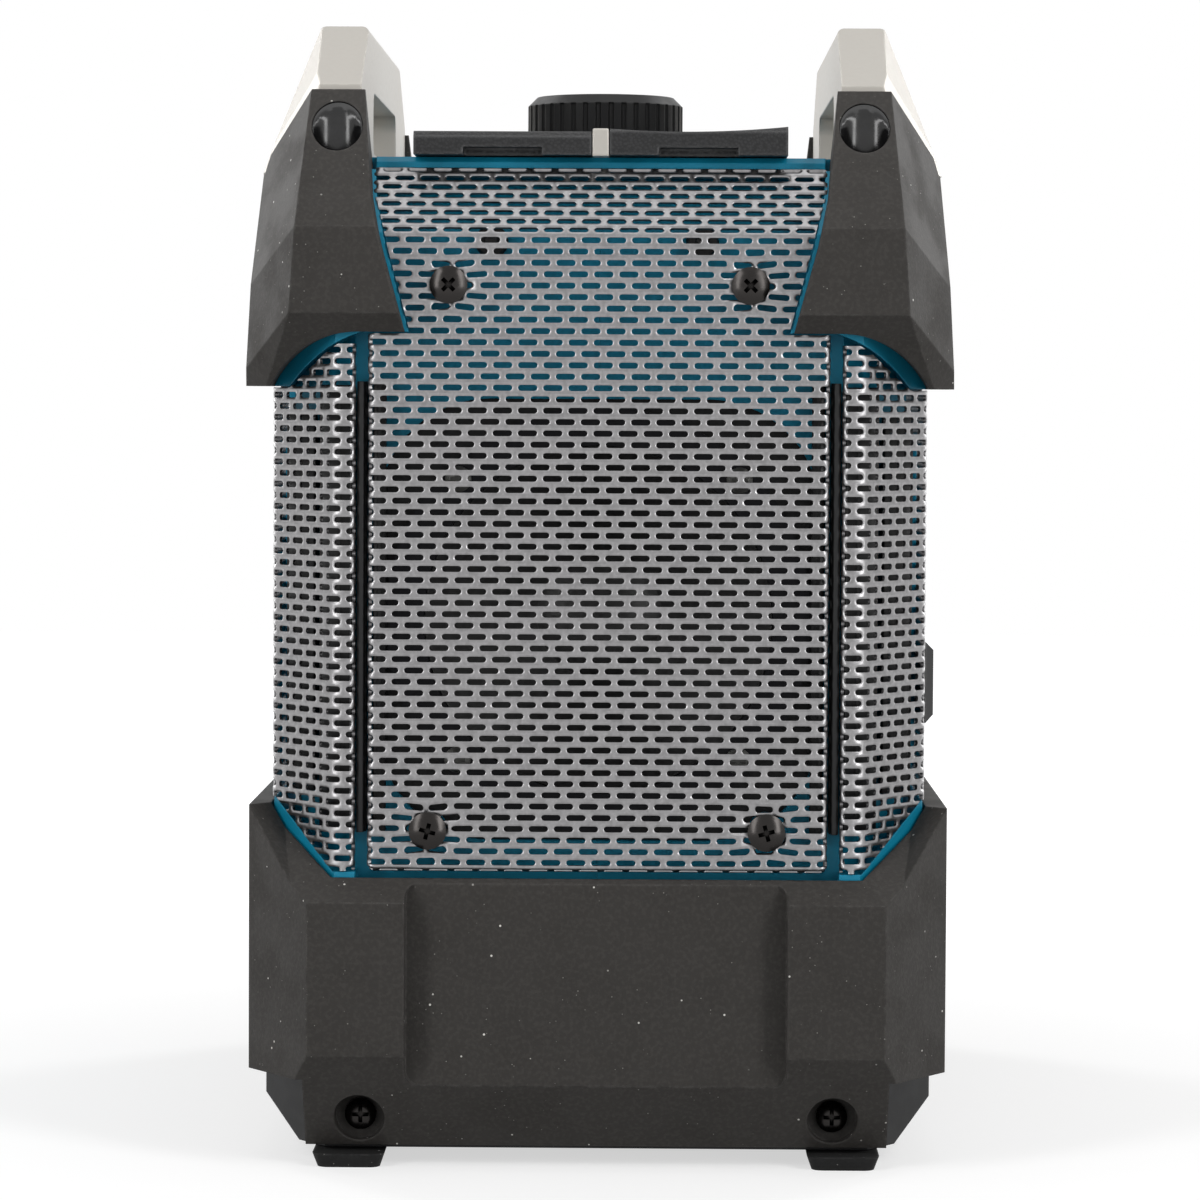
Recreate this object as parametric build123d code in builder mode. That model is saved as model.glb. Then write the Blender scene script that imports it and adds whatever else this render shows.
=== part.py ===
from build123d import *
import os
from math import sqrt

# A portable jobsite radio. Every length is in millimetres.
# +X is the front, -X the rear with the battery door, -Y the left end, +Y the right end, +Z is up.
# The origin is under the middle of the radio, on the plane that its feet stand on.

# ---------------------------------------------------------------- driving sizes
# Envelope
overall_length = 262.0  # along Y, over the end bumpers
overall_width = 190.0  # along X, over the corner bumpers
foot_height = 4.0
tray_height = 20.0
shell_height = 243.0
handle_rise = 41.0  # top of the handles above the shells

# Layers from the outside in
end_skin = 8.0  # rubber in front of the end grilles
side_skin = 6.7  # rubber outside the front and rear grilles
end_grille_gap = 9.0  # end grille face to shell wall
side_grille_gap = 5.3  # side grille face to shell wall
shell_wall = 3.0
sheet = 1.0  # grille steel
corner_cut_x = 18.0  # the vertical corners are cut off, this much along X
corner_cut_y = 24.0  # and this much along Y
lean_run = 14.0  # the ends lean back near the top, this much inward
lean_rise = 17.5  # over this height
bend_drop = 17.3  # bend line of the ends below the top of the shells
seat_gap = 0.2  # between parts that are screwed or clipped together
slide_gap = 0.3  # around parts that move

# Base
boot_inset = 1.0  # boot side inside the corner bumpers
boot_cut_x = 17.5
boot_cut_y = 25.0
boot_side_top = 72.4  # above the shells' bottom
boot_end_top = 54.7  # inner top edge at the ends
boot_face_top = 48.8  # outer top edge at the ends
boot_face_bottom = 8.0  # below it the boot is undercut
boot_low = 5.5  # lowest edge of the boot above the ground
boot_low_inset = 18.0  # how far the undercut runs in
boot_toe_inset = 17.0
boot_side_gap = 1.0  # open joint between tray and boot on the long sides
recess_half_width = 50.7
recess_depth = 6.0
recess_low = 23.5
recess_high = 77.6
recess_radius = 4.0
well_radius = 6.8  # screw wells in the boot and the bumpers
well_floor = 3.0
boot_well_inset = 31.7
boot_well_z = 13.7
tray_inset_x = 3.8
tray_inset_y = 23.3
tray_wall = 3.0
tray_bevel_x = 10.2
tray_bevel_z = 11.0
foot_width = 16.8
foot_length = 30.0
foot_inset_x = 28.7
foot_inset_y = 29.0
foot_flare = 2.6

# Corner bumpers. Heights are above the shells' bottom, insets are from the outermost side or end
bumper_length = 53.0
bumper_top = 264.4
bumper_lip_inset = 25.0  # where the front face meets the top edge
bumper_lip = 2.8
bumper_crease_high = 227.0
bumper_crease_low = 204.3
bumper_edge_low = 199.5
bumper_edge_low_inset = 5.0
bumper_side_low = 185.0
bumper_face_high_inset = 15.0  # outer edge of the front face, at its two creases
bumper_face_inset = 13.5
bumper_facet_inset_x = 3.0  # the corner facet's two creases end here
bumper_facet_inset_y = 19.0
bumper_facet_high = 211.5
bumper_facet_low = 191.8
bumper_top_inset = 17.6
bumper_shoulder_inset = 3.1
bumper_shoulder_z = 245.5
bumper_cut_inset = 25.5
bumper_skin = 2.0  # thickness beside the handle and the corner pad
bumper_rim_inset = 45.0  # beside the handle the skin reaches this far back
bumper_inner_top_inset = 31.7  # inner edge of the front face, from the top down
bumper_inner_mid_inset = 34.7
bumper_inner_mid_z = 235.0
bumper_inner_flare_inset = 37.5
bumper_inner_flare_z = 222.0
bumper_inner_low_inset = 43.6
bumper_sweep_inset = 31.0  # the lower edge sweeps down from here
bumper_sweep_mid_inset = 17.0
bumper_sweep_mid_z = 195.5
bumper_sweep_end_inset = 7.0
bumper_well_inset = 24.9
bumper_well_z = 254.2
pad_reveal = 1.0  # teal strip beside the bumper
pad_lip = 4.8  # teal crescent below the bumper
pad_back_gap = 2.0  # the pads reach this far behind the bumpers

# Handles
handle_inner_inset = 30.7
handle_top_width = 13.0
handle_end_width = 12.3
handle_flank_length = 53.0  # at the foot the outer corners are cut off this far from the ends
handle_flare = 12.8  # the outer face runs out this much
handle_flare_drop = 33.0  # over this height
handle_top_inset = 60.0
handle_end_height = 23.0
grip_end = 18.0  # from the grip window to the end of the handle's top
grip_low = 7.0
grip_high = 24.0
grip_radius = 5.0
handle_round = 2.0

# End grilles
grille_side_inset = 33.8
grille_low = 56.3
grille_step = 199.1
grille_top_gap = 0.5
grille_return = 5.0
grille_edge_gap = 0.4
end_screw_high = (39.9, 212.0)
end_screw_low = (45.0, 67.2)
dish_depth = 0.9  # the steel is dished inward round each of these screws
dish_radius = 8.2
dish_floor_radius = 5.4
end_screw_turns = (45.0, 15.0)  # the cross recesses stand at these angles, in degrees

# Front and rear grilles
channel = 3.2  # gap between the end grille and a wrapped grille
wing_return = 4.0
wing_boot_gap = 1.7  # between the boot's rim and the grilles above it
wing_tip = 196.3
wing_tip_inset = 26.0
side_grille_top = 238.0
side_step_gap = 4.0  # between the bumpers and the upper part of these grilles
rear_grille_gap = 3.0  # between the battery door and the rear grilles
ledge_drop = 8.0  # the ledge below the corners of these grilles reaches this far into the boot
rib_y = 70.0
rib_width = 3.0
rib_low = 81.0
rib_high = 171.0
badge_length = 54.0
badge_height = 22.0
badge_depth = 2.6
badge_chamfer = 2.2
badge_inset = 64.0
badge_z = 105.5

# Loudspeakers
speaker_height = 123.0
speaker_opening = 118.0
speaker_opening_radius = 30.0
flange_radius = 57.0
flange_thickness = 2.4
cone_radius = 46.4
cone_thickness = 1.0
basket_radius = 49.5
basket_back_radius = 36.0
basket_depth = 27.0
basket_cup = 6.0
basket_wall = 2.0
voice_radius = 17.0
cone_depth = 24.0
dome_rise = 5.0
magnet_radius = 30.0
magnet_thickness = 18.0
magnet_round = 1.5
baffle_thickness = 4.0
baffle_side_gap = 1.0  # inside the shells' cut corners
baffle_height = 126.0
baffle_gap = 1.0
speaker_screw_offset = 37.5

# Deck
deck_thickness = 3.5
deck_inset_y = 24.0
deck_nose_inset = 4.0
deck_nose_length = 4.6
deck_opening_margin_x = 14.0  # beside the control board
deck_opening_margin_y = 1.0  # past its end
trim_half_width = 2.15
trim_height = 7.3
trim_ring_inner = 24.2
trim_ring_wall = 3.2
trim_round = 0.5
slab_width = 47.4
slab_gap = 0.25
slab_thickness = 6.2
slab_end_inset = 17.0
slab_start = 30.0
slab_chamfer = 1.4
notch_width = 21.0
notch_height = 2.0
notch_depth = 6.0
dish_rise = 1.5  # the accessory cover is dished: its outer edge stands this much higher
dish_low_x = 22.0
pin_radius = 1.5
pin_clearance = 0.05
lug_width = 4.0
lug_offset = 16.0
well_width = 36.0
well_start = 12.0  # from the start of the covers to the wells
well_rest = 22.0  # from the wells to the free end of the covers
well_depth = 16.0
well_wall = 2.0

usb_width = 16.0
usb_length = 8.0
usb_shift = 12.0
jack_shift = 9.0
jack_radius = 5.0
audio_bore = 1.8
inlet_bore = 3.0
inlet_pin = 1.0
socket_proud = 2.0
socket_height = 13.0

# Controls
knob_radius = 22.5
knob_height = 21.1
knob_gap = 1.7
knob_chamfer = 2.6
knob_ribs = 38
knob_rib_radius = 0.75
shaft_radius = 3.0
plunger_radius = 1.5
encoder_size = 13.0
encoder_height = 6.4
encoder_neck_radius = 4.5
encoder_neck_height = 6.0
encoder_floor = 3.6
plunger_length = 18.0
knob_press = 0.8
knob_crown = 4.0
knob_cavity_gap = 1.0
control_post_inset = 4.0
control_post_rear_y = -20.0
control_post_front_y = 26.0
control_post_end_inset = 6.0
control_board_drop = 5.4
board_thickness = 1.6
control_board_half_width = 46.0
control_board_start = -26.0
display_start = 11.0  # from the start of its housing to the display
display_rest = 23.0  # from the display to the end of its housing
display_width = 36.0
display_opening_gap = 1.0  # deck opening round the display module, and the encoder
window_thickness = 1.5
key_width = 15.0
key_gap_y = 5.0
key_start = 5.5  # from the start of the bezel to the first keys
key_rest = 17.5  # from the last keys to the end of the bezel
key_pitch_x = 21.0
key_proud = 1.2
key_corner = 2.0
key_round = 0.6
switch_stem_radius = 1.8
key_travel = 1.0
key_flange = 1.7
key_flange_thickness = 1.2
keypad_skin = 2.4
switch_size = 6.0
switch_height = 5.0

# Battery side
bay_half_width = 50.0
bay_low = 78.0
bay_high = 208.0
bay_depth = 48.0
bay_wall = 2.5
door_half_width = 51.0
door_low = 74.0
door_high = 212.0
door_thickness = 4.4
door_stand_off = 0.6
door_lug_offset = 35.0
door_lug_width = 6.0
latch_width = 25.0
latch_height = 17.0
latch_thickness = 2.6
latch_travel = 3.0
latch_tongue_width = 12.0
latch_tongue_height = 5.0
latch_tongue_end = 0.5  # short of the inside of the rear wall
latch_proud = 0.6
latch_ridge = 0.8
latch_ridge_pitch = 3.0
latch_ridge_margin = 2.0
pack_width = 75.0
pack_depth = 36.0
pack_height = 104.0
contact_spacing = 18.0
contact_thickness = 0.8
contact_reach = 5.0
contact_room = 1.0
contact_height = 12.0
contact_bottom = 2.0
terminal_depth = 6.0
terminal_width = 44.0
terminal_height = 30.0
pack_round = 3.0
rail_depth = 12.0

# Inside
amplifier_width = 100.0
amplifier_length = 120.0
amplifier_hole_inset = 6.0
standoff_height = 9.0
standoff_radius = 4.0
heat_sink_size = 60.0
heat_sink_depth = 40.0
heat_sink_base = 3.0
fin_height = 20.0
fin_count = 7
fin_thickness = 1.6
aerial_radius = 5.0
aerial_length = 100.0
aerial_x = 60.0
aerial_z = 216.0
aerial_clip_y = 35.0
aerial_clip_wall = 3.0
port_radius = 22.0
port_wall = 2.0
port_length = 54.0
port_lip = 3.0
shell_screw_y = 60.0
shell_screw_low = 21.0
shell_screw_high = 212.0
shell_screw_length = 116.0

# Screws
screw_radius = 1.95
thread_bore = 2.0
board_head_radius = 3.5
board_head_height = 2.0
board_screw_length = 6.4
grille_head_radius = 5.0
grille_head_height = 2.8
small_head_radius = 4.2
small_head_height = 2.6
head_dome = 0.6  # share of a screw head's height that is domed
cross_length = 4.4
cross_width = 1.1
cross_depth = 1.3
boss_radius = 4.5
bumper_screw_grip = 14.0
boot_screw_grip = 10.0
screw_tip_gap = 2.0
shell_boss_radius = 5.0

# ---------------------------------------------------------------- places worked out from them
half_length = overall_length / 2
half_width = overall_width / 2
boot_toe_half_width = half_width - boot_toe_inset
boot_well_x = half_width - boot_well_inset
tray_half_width = half_width - tray_inset_x
tray_half_length = half_length - tray_inset_y
foot_x = half_width - foot_inset_x
foot_y = half_length - foot_inset_y
bumper_back = half_length - bumper_length
bumper_lip_y = half_length - bumper_lip_inset
bumper_face_high_x = half_width - bumper_face_high_inset
bumper_face_x = half_width - bumper_face_inset
bumper_facet_x = half_width - bumper_facet_inset_x
bumper_facet_y = half_length - bumper_facet_inset_y
bumper_top_x = half_width - bumper_top_inset
bumper_shoulder_x = half_width - bumper_shoulder_inset
bumper_cut_y = half_length - bumper_cut_inset
bumper_rim_y = half_length - bumper_rim_inset
bumper_inner_top = half_width - bumper_inner_top_inset
bumper_inner_mid = half_width - bumper_inner_mid_inset
bumper_inner_flare = half_width - bumper_inner_flare_inset
bumper_inner_low = half_width - bumper_inner_low_inset
bumper_sweep_x = half_width - bumper_sweep_inset
bumper_sweep_mid = (half_width - bumper_sweep_mid_inset, bumper_sweep_mid_z)
bumper_sweep_end = half_width - bumper_sweep_end_inset
pad_sweep_mid = (bumper_sweep_mid[0], bumper_sweep_mid[1] - pad_lip)
pad_sweep_end = bumper_sweep_end - pad_lip
bumper_well_x = half_width - bumper_well_inset
pad_back = bumper_back - pad_back_gap
handle_inner = half_width - handle_inner_inset
handle_top_half = half_length - handle_top_inset
grip_half_length = handle_top_half - grip_end
grille_width_half = half_width - grille_side_inset
wing_tip_x = half_width - wing_tip_inset
wing_side_top = bumper_side_low - seat_gap
side_grille_step = bumper_back - side_step_gap
rear_grille_inner = door_half_width + rear_grille_gap
wing_low = boot_end_top + wing_boot_gap
wing_side_low = boot_side_top + wing_boot_gap
badge_y = badge_inset - half_length
grille_half_length = half_length - end_skin
grille_half_width = half_width - side_skin
shell_half_length = grille_half_length - end_grille_gap
shell_half_width = grille_half_width - side_grille_gap
pad_half_length = grille_half_length - sheet / 2
pad_half_width = grille_half_width - sheet / 2
cavity_half_length = shell_half_length - shell_wall
cavity_half_width = shell_half_width - shell_wall
tray_bottom = foot_height
shell_bottom = tray_bottom + tray_height
shell_top = shell_bottom + shell_height
overall_height = shell_top + handle_rise
bend_z = shell_top - bend_drop
speaker_z = shell_bottom + speaker_height
baffle_width = 2 * (cavity_half_width - corner_cut_x - baffle_side_gap)
deck_top = shell_top + deck_thickness
slab_bottom = deck_top + slide_gap
slab_top = slab_bottom + slab_thickness
slab_inner = trim_half_width + slab_gap
slab_x = slab_inner + slab_width / 2
slab_end = half_length - slab_end_inset
slab_y = (slab_start + slab_end) / 2
slab_length = slab_end - slab_start
hinge_radius = slab_thickness / 2
hinge_y = -(slab_start + hinge_radius)
hinge_z = slab_bottom + hinge_radius
well_length = slab_length - well_start - well_rest
well_y = -(slab_start + well_start + well_length / 2)
display_length = slab_length - display_start - display_rest
display_y = slab_start + display_start + display_length / 2
key_length = (slab_length - key_start - key_rest - 2 * key_gap_y) / 3
key_pitch_y = key_length + key_gap_y
key_y = slab_start + key_start + key_length + key_gap_y + key_length / 2
deck_half_width = handle_inner - slide_gap
deck_half_length = half_length - deck_inset_y
deck_nose_half_width = deck_half_width - deck_nose_inset
deck_opening_half_x = control_board_half_width + deck_opening_margin_x
control_board_end = key_y + key_pitch_y + switch_size
deck_opening_half_y = control_board_end + deck_opening_margin_y
control_post_x = control_board_half_width - control_post_inset
control_posts = [
    (-control_post_x, control_post_rear_y),
    (control_post_x, control_post_rear_y),
    (-control_post_x, control_post_front_y),
    (control_post_x, control_post_front_y),
    (0.0, control_board_end - control_post_end_inset),
]
board_top = shell_top - control_board_drop
handle_end = bumper_lip_y - bumper_lip - seat_gap
handle_outer_top = handle_inner + handle_top_width
handle_outer_foot = handle_outer_top + handle_rise * handle_flare / handle_flare_drop
channel_edge = grille_width_half + channel
rear_wall = -shell_half_width
door_inner = rear_wall - door_stand_off
door_outer = door_inner - door_thickness
door_hinge_x = door_inner - door_thickness / 2
door_hinge_z = shell_bottom + door_low + door_thickness / 2
amplifier_z = shell_bottom + shell_wall + standoff_height
amplifier_hole_x = amplifier_width - 2 * amplifier_hole_inset
amplifier_hole_y = amplifier_length - 2 * amplifier_hole_inset

LOW = (Align.CENTER, Align.CENTER, Align.MIN)
HIGH = (Align.CENTER, Align.CENTER, Align.MAX)


def save(builder, name):
    """Name a finished piece and write it to its own file."""
    builder.part.label = name
    export_step(builder.part, f"parts/{name}.step")


def cut_corner_rectangle(half_x, half_y, cut_x=corner_cut_x, cut_y=corner_cut_y):
    """Plan of a rectangle with its four corners cut off, for the sketch being drawn."""
    Polygon(
        (half_x, half_y - cut_y),
        (half_x - cut_x, half_y),
        (cut_x - half_x, half_y),
        (-half_x, half_y - cut_y),
        (-half_x, cut_y - half_y),
        (cut_x - half_x, -half_y),
        (half_x - cut_x, -half_y),
        (half_x, cut_y - half_y),
        align=None,
    )


def lean_plane(side, half_length_here):
    """Plane that leans back over one end: side is -1 for the left end and 1 for the right."""
    return Plane(origin=(0, side * half_length_here, bend_z), z_dir=(0, side * lean_rise, lean_run))


def plane_through(first, second, third, outside):
    """Plane through three points, with its normal towards the outside point."""
    origin = Vector(*first)
    normal = (Vector(*second) - origin).cross(Vector(*third) - origin)
    if (Vector(*outside) - origin).dot(normal) < 0:
        normal = normal * -1
    return Plane(origin=origin, z_dir=normal)


def upper_facet(side_x, side_y, depth):
    """Plane of a corner bumper's upper outer facet, moved inward by depth."""
    top = shell_bottom + bumper_top
    facet = plane_through(
        (side_x * bumper_face_high_x, side_y * half_length, shell_bottom + bumper_crease_high),
        (side_x * bumper_top_x, side_y * bumper_lip_y, top),
        (side_x * bumper_facet_x, side_y * bumper_facet_y, shell_bottom + bumper_facet_high),
        (side_x * overall_width, side_y * overall_length, top),
    )
    return facet.offset(-depth)


def handle_flank(side_y, clearance):
    """Plane that cuts off an outer corner of the front handle, moved outward by the clearance."""
    flank = plane_through(
        (handle_outer_top, side_y * handle_top_half, overall_height),
        (handle_inner + handle_end_width, side_y * handle_end, shell_top + handle_end_height),
        (handle_outer_foot, side_y * (half_length - handle_flank_length), shell_top),
        (overall_width, side_y * overall_length, overall_height),
    )
    return flank.offset(clearance)


def add_screw(seat, outward, shaft_length, head=(small_head_radius, small_head_height), turn=0):
    """Screw with a domed head and a cross recess: the head stands outward from its seat."""
    head_radius, head_height = head
    drive = Plane(origin=seat, z_dir=outward).location * Rotation(0, 0, turn)
    dome_height = head_height * head_dome
    dome_sphere = (head_radius**2 + dome_height**2) / (2 * dome_height)
    blank = Cylinder(head_radius, head_height, align=LOW, mode=Mode.PRIVATE)
    dome = Pos(0, 0, head_height - dome_sphere) * Sphere(dome_sphere, mode=Mode.PRIVATE)
    with Locations(drive):
        add(blank & dome)
        Cylinder(screw_radius, shaft_length, align=HIGH)
    with Locations(drive * Pos(0, 0, head_height)):
        Box(cross_length, cross_width, cross_depth, align=HIGH, mode=Mode.SUBTRACT)
        Box(cross_width, cross_length, cross_depth, align=HIGH, mode=Mode.SUBTRACT)


def add_board_screw(seat, outward):
    """The short screw that holds the loudspeakers and both circuit boards."""
    add_screw(seat, outward, board_screw_length, (board_head_radius, board_head_height))


def envelope(half_x, half_y, low, high):
    """Body block between two heights, with cut corners and ends that lean back."""
    with BuildPart() as block:
        with BuildSketch(Plane.XY.offset(low)):
            cut_corner_rectangle(half_x, half_y)
        extrude(amount=high - low)
        for side in (-1, 1):
            split(bisect_by=lean_plane(side, half_y), keep=Keep.BOTTOM)
    return block.part


def bumper_edge(shift, sweep_mid, sweep_end):
    """Front outline of a corner bumper at +X, moved inward by shift; its lower edge sweeps down."""
    low = shell_bottom + bumper_edge_low
    side_low = shell_bottom + bumper_side_low
    outer = half_width + 1
    with BuildSketch(Plane.XZ) as outline:
        with BuildLine():
            flare = Polyline(
                (bumper_inner_top - shift, shell_bottom + bumper_top + 1),
                (bumper_inner_mid - shift, shell_bottom + bumper_inner_mid_z),
                (bumper_inner_flare - shift, shell_bottom + bumper_inner_flare_z),
                (bumper_inner_low - shift, low),
                (bumper_sweep_x - shift, low),
            )
            sweep = ThreePointArc(
                flare @ 1,
                (sweep_mid[0], shell_bottom + sweep_mid[1]),
                (sweep_end, side_low),
            )
            Polyline(
                sweep @ 1,
                (outer, side_low),
                (outer, shell_bottom + bumper_top + 1),
                flare @ 0,
            )
        make_face()
    return outline.sketch


os.makedirs("parts", exist_ok=True)

# ---------------------------------------------------------------- feet and base tray
with BuildPart() as feet:
    for side_x in (-1, 1):
        for side_y in (-1, 1):
            with BuildSketch(Plane(origin=(side_x * foot_x, side_y * foot_y, 0))):
                RectangleRounded(foot_width, foot_length, 3)
            with BuildSketch(Plane(origin=(side_x * foot_x, side_y * foot_y, foot_height - seat_gap))):
                RectangleRounded(foot_width + foot_flare, foot_length + foot_flare, 3)
            loft()
save(feet, "feet")

tray_top = shell_bottom - seat_gap
with BuildPart() as base_tray:
    with BuildSketch(Plane.XY.offset(tray_bottom)):
        cut_corner_rectangle(tray_half_width, tray_half_length)
    extrude(amount=tray_top - tray_bottom)
    for side in (-1, 1):
        split(
            bisect_by=Plane(
                origin=(side * tray_half_width, 0, tray_bottom + tray_bevel_z),
                z_dir=(side * tray_bevel_z, 0, -tray_bevel_x),
            ),
            keep=Keep.BOTTOM,
        )
    with BuildSketch(Plane.XY.offset(tray_bottom + tray_wall)):
        cut_corner_rectangle(
            tray_half_width - tray_wall - tray_bevel_x,
            tray_half_length - tray_wall,
        )
    extrude(amount=tray_height, mode=Mode.SUBTRACT)
    for side_x in (-1, 1):
        for side_y in (-1, 1):
            end = Plane(
                origin=(side_x * boot_well_x, side_y * tray_half_length, boot_well_z),
                z_dir=(0, side_y, 0),
            )
            with Locations(end):
                Cylinder(boss_radius, foot_length / 2, align=HIGH)
                Cylinder(thread_bore, foot_length / 2 - 1, align=HIGH, mode=Mode.SUBTRACT)
save(base_tray, "base_tray")

# ---------------------------------------------------------------- base boot
boot_half_width = half_width - boot_inset
boot_inner_x = grille_half_width + slide_gap
boot_inner_y = grille_half_length + slide_gap
toe_inner_y = tray_half_length + slide_gap
side_low = shell_bottom + boot_side_gap


def boot_rim(side_x, side_y, at_end):
    """The top facet's edge from the boot's inside to its outside, a little longer at both ends."""
    if at_end:
        outer_x = boot_half_width - boot_cut_x
        inner_x = boot_inner_x - corner_cut_x
        outer = Vector(side_x * outer_x, side_y * half_length, shell_bottom + boot_face_top)
        inner = Vector(side_x * inner_x, side_y * boot_inner_y, shell_bottom + boot_end_top)
    else:
        outer_y = half_length - boot_cut_y
        inner_y = boot_inner_y - corner_cut_y
        outer = Vector(side_x * boot_half_width, side_y * outer_y, shell_bottom + boot_side_top)
        inner = Vector(side_x * boot_inner_x, side_y * inner_y, shell_bottom + boot_side_top)
    run = (outer - inner) / 2
    return [outer + run, inner - run]


def block_above(facet):
    """Block whose underside is the given facet."""
    lift = Vector(0, 0, boot_side_top)
    return ConvexPolyhedron(facet + [point + lift for point in facet], mode=Mode.PRIVATE)


with BuildPart() as base_boot:
    with BuildSketch(Plane.XY.offset(boot_low)):
        cut_corner_rectangle(boot_half_width, half_length, boot_cut_x, boot_cut_y)
    extrude(amount=shell_bottom + boot_side_top - boot_low)
    # the ends are undercut towards the ground
    for side in (-1, 1):
        undercut = Plane(
            origin=(0, side * half_length, shell_bottom + boot_face_bottom),
            z_dir=(0, side * (shell_bottom + boot_face_bottom - boot_low), -boot_low_inset),
        )
        split(bisect_by=undercut, keep=Keep.BOTTOM)
    with BuildSketch(Plane.XY.offset(shell_bottom)):
        cut_corner_rectangle(boot_inner_x, boot_inner_y)
    extrude(amount=boot_side_top, mode=Mode.SUBTRACT)
    # below the shells only a toe is left at each end
    with BuildSketch(Plane.XY):
        Rectangle(overall_width, 2 * toe_inner_y)
    extrude(amount=side_low, mode=Mode.SUBTRACT)
    for side_x in (-1, 1):
        with Locations((side_x * boot_toe_half_width, 0, 0)):
            Box(
                overall_width,
                overall_length,
                side_low,
                align=(Align.MAX if side_x < 0 else Align.MIN, Align.CENTER, Align.MIN),
                mode=Mode.SUBTRACT,
            )
    for side_y in (-1, 1):
        end_rims = [boot_rim(side_x, side_y, True) for side_x in (-1, 1)]
        add(block_above(end_rims[0] + end_rims[1]), mode=Mode.SUBTRACT)
        for side_x, end_rim in zip((-1, 1), end_rims):
            corner_rim = boot_rim(side_x, side_y, False)
            add(block_above(end_rim + corner_rim), mode=Mode.SUBTRACT)
        # hand recess and screw wells
        recess = Plane(
            origin=(0, side_y * (half_length - recess_depth), (recess_low + recess_high) / 2),
            x_dir=(1, 0, 0),
            z_dir=(0, side_y, 0),
        )
        with BuildSketch(recess):
            RectangleRounded(2 * recess_half_width, recess_high - recess_low, recess_radius)
        extrude(amount=end_skin, mode=Mode.SUBTRACT)
        for side_x in (-1, 1):
            well = Plane(
                origin=(side_x * boot_well_x, side_y * (toe_inner_y + well_floor), boot_well_z),
                z_dir=(0, side_y, 0),
            )
            with Locations(well):
                Cylinder(well_radius, end_skin * 2, align=LOW, mode=Mode.SUBTRACT)
                Cylinder(thread_bore + slide_gap, end_skin, align=HIGH, mode=Mode.SUBTRACT)
save(base_boot, "base_boot")

# ---------------------------------------------------------------- body shells
with BuildPart() as corner_pads:
    add(envelope(pad_half_width, pad_half_length, shell_bottom + bumper_side_low, shell_top))
    with BuildSketch(Plane.XZ):
        add(bumper_edge(pad_reveal, pad_sweep_mid, pad_sweep_end))
        mirror(about=Plane.YZ)
    extrude(amount=overall_length, both=True, mode=Mode.INTERSECT)
    with BuildSketch(Plane.XY):
        Rectangle(overall_width, 2 * pad_back)
    extrude(amount=2 * shell_top, mode=Mode.SUBTRACT)
    for side_x in (-1, 1):
        for side_y in (-1, 1):
            split(bisect_by=upper_facet(side_x, side_y, bumper_skin + seat_gap), keep=Keep.BOTTOM)


def below_wrapped_grilles(drop):
    """What lies below the front and rear grilles at +X, seen from the left end and moved down by drop."""
    low = shell_bottom + wing_low - drop
    side_low = shell_bottom + wing_side_low - drop
    Polygon(
        (0, low),
        (grille_half_width - corner_cut_x, low),
        (grille_half_width - sheet, side_low),
        (half_width, side_low),
        (half_width, 0),
        (0, 0),
        align=None,
    )


with BuildPart() as ledge:
    ledge_low = shell_bottom + boot_end_top - ledge_drop
    add(envelope(pad_half_width, pad_half_length, ledge_low, shell_bottom + wing_side_low))
    with BuildSketch(Plane.XZ):
        below_wrapped_grilles(slide_gap)
        mirror(about=Plane.YZ)
    extrude(amount=half_length, both=True, mode=Mode.INTERSECT)
    with BuildSketch(Plane.XY):
        Rectangle(2 * channel_edge, overall_length)
        with Locations((-half_width, 0)):
            Rectangle(overall_width, 2 * rear_grille_inner)
    extrude(amount=shell_top, mode=Mode.SUBTRACT)

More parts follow.
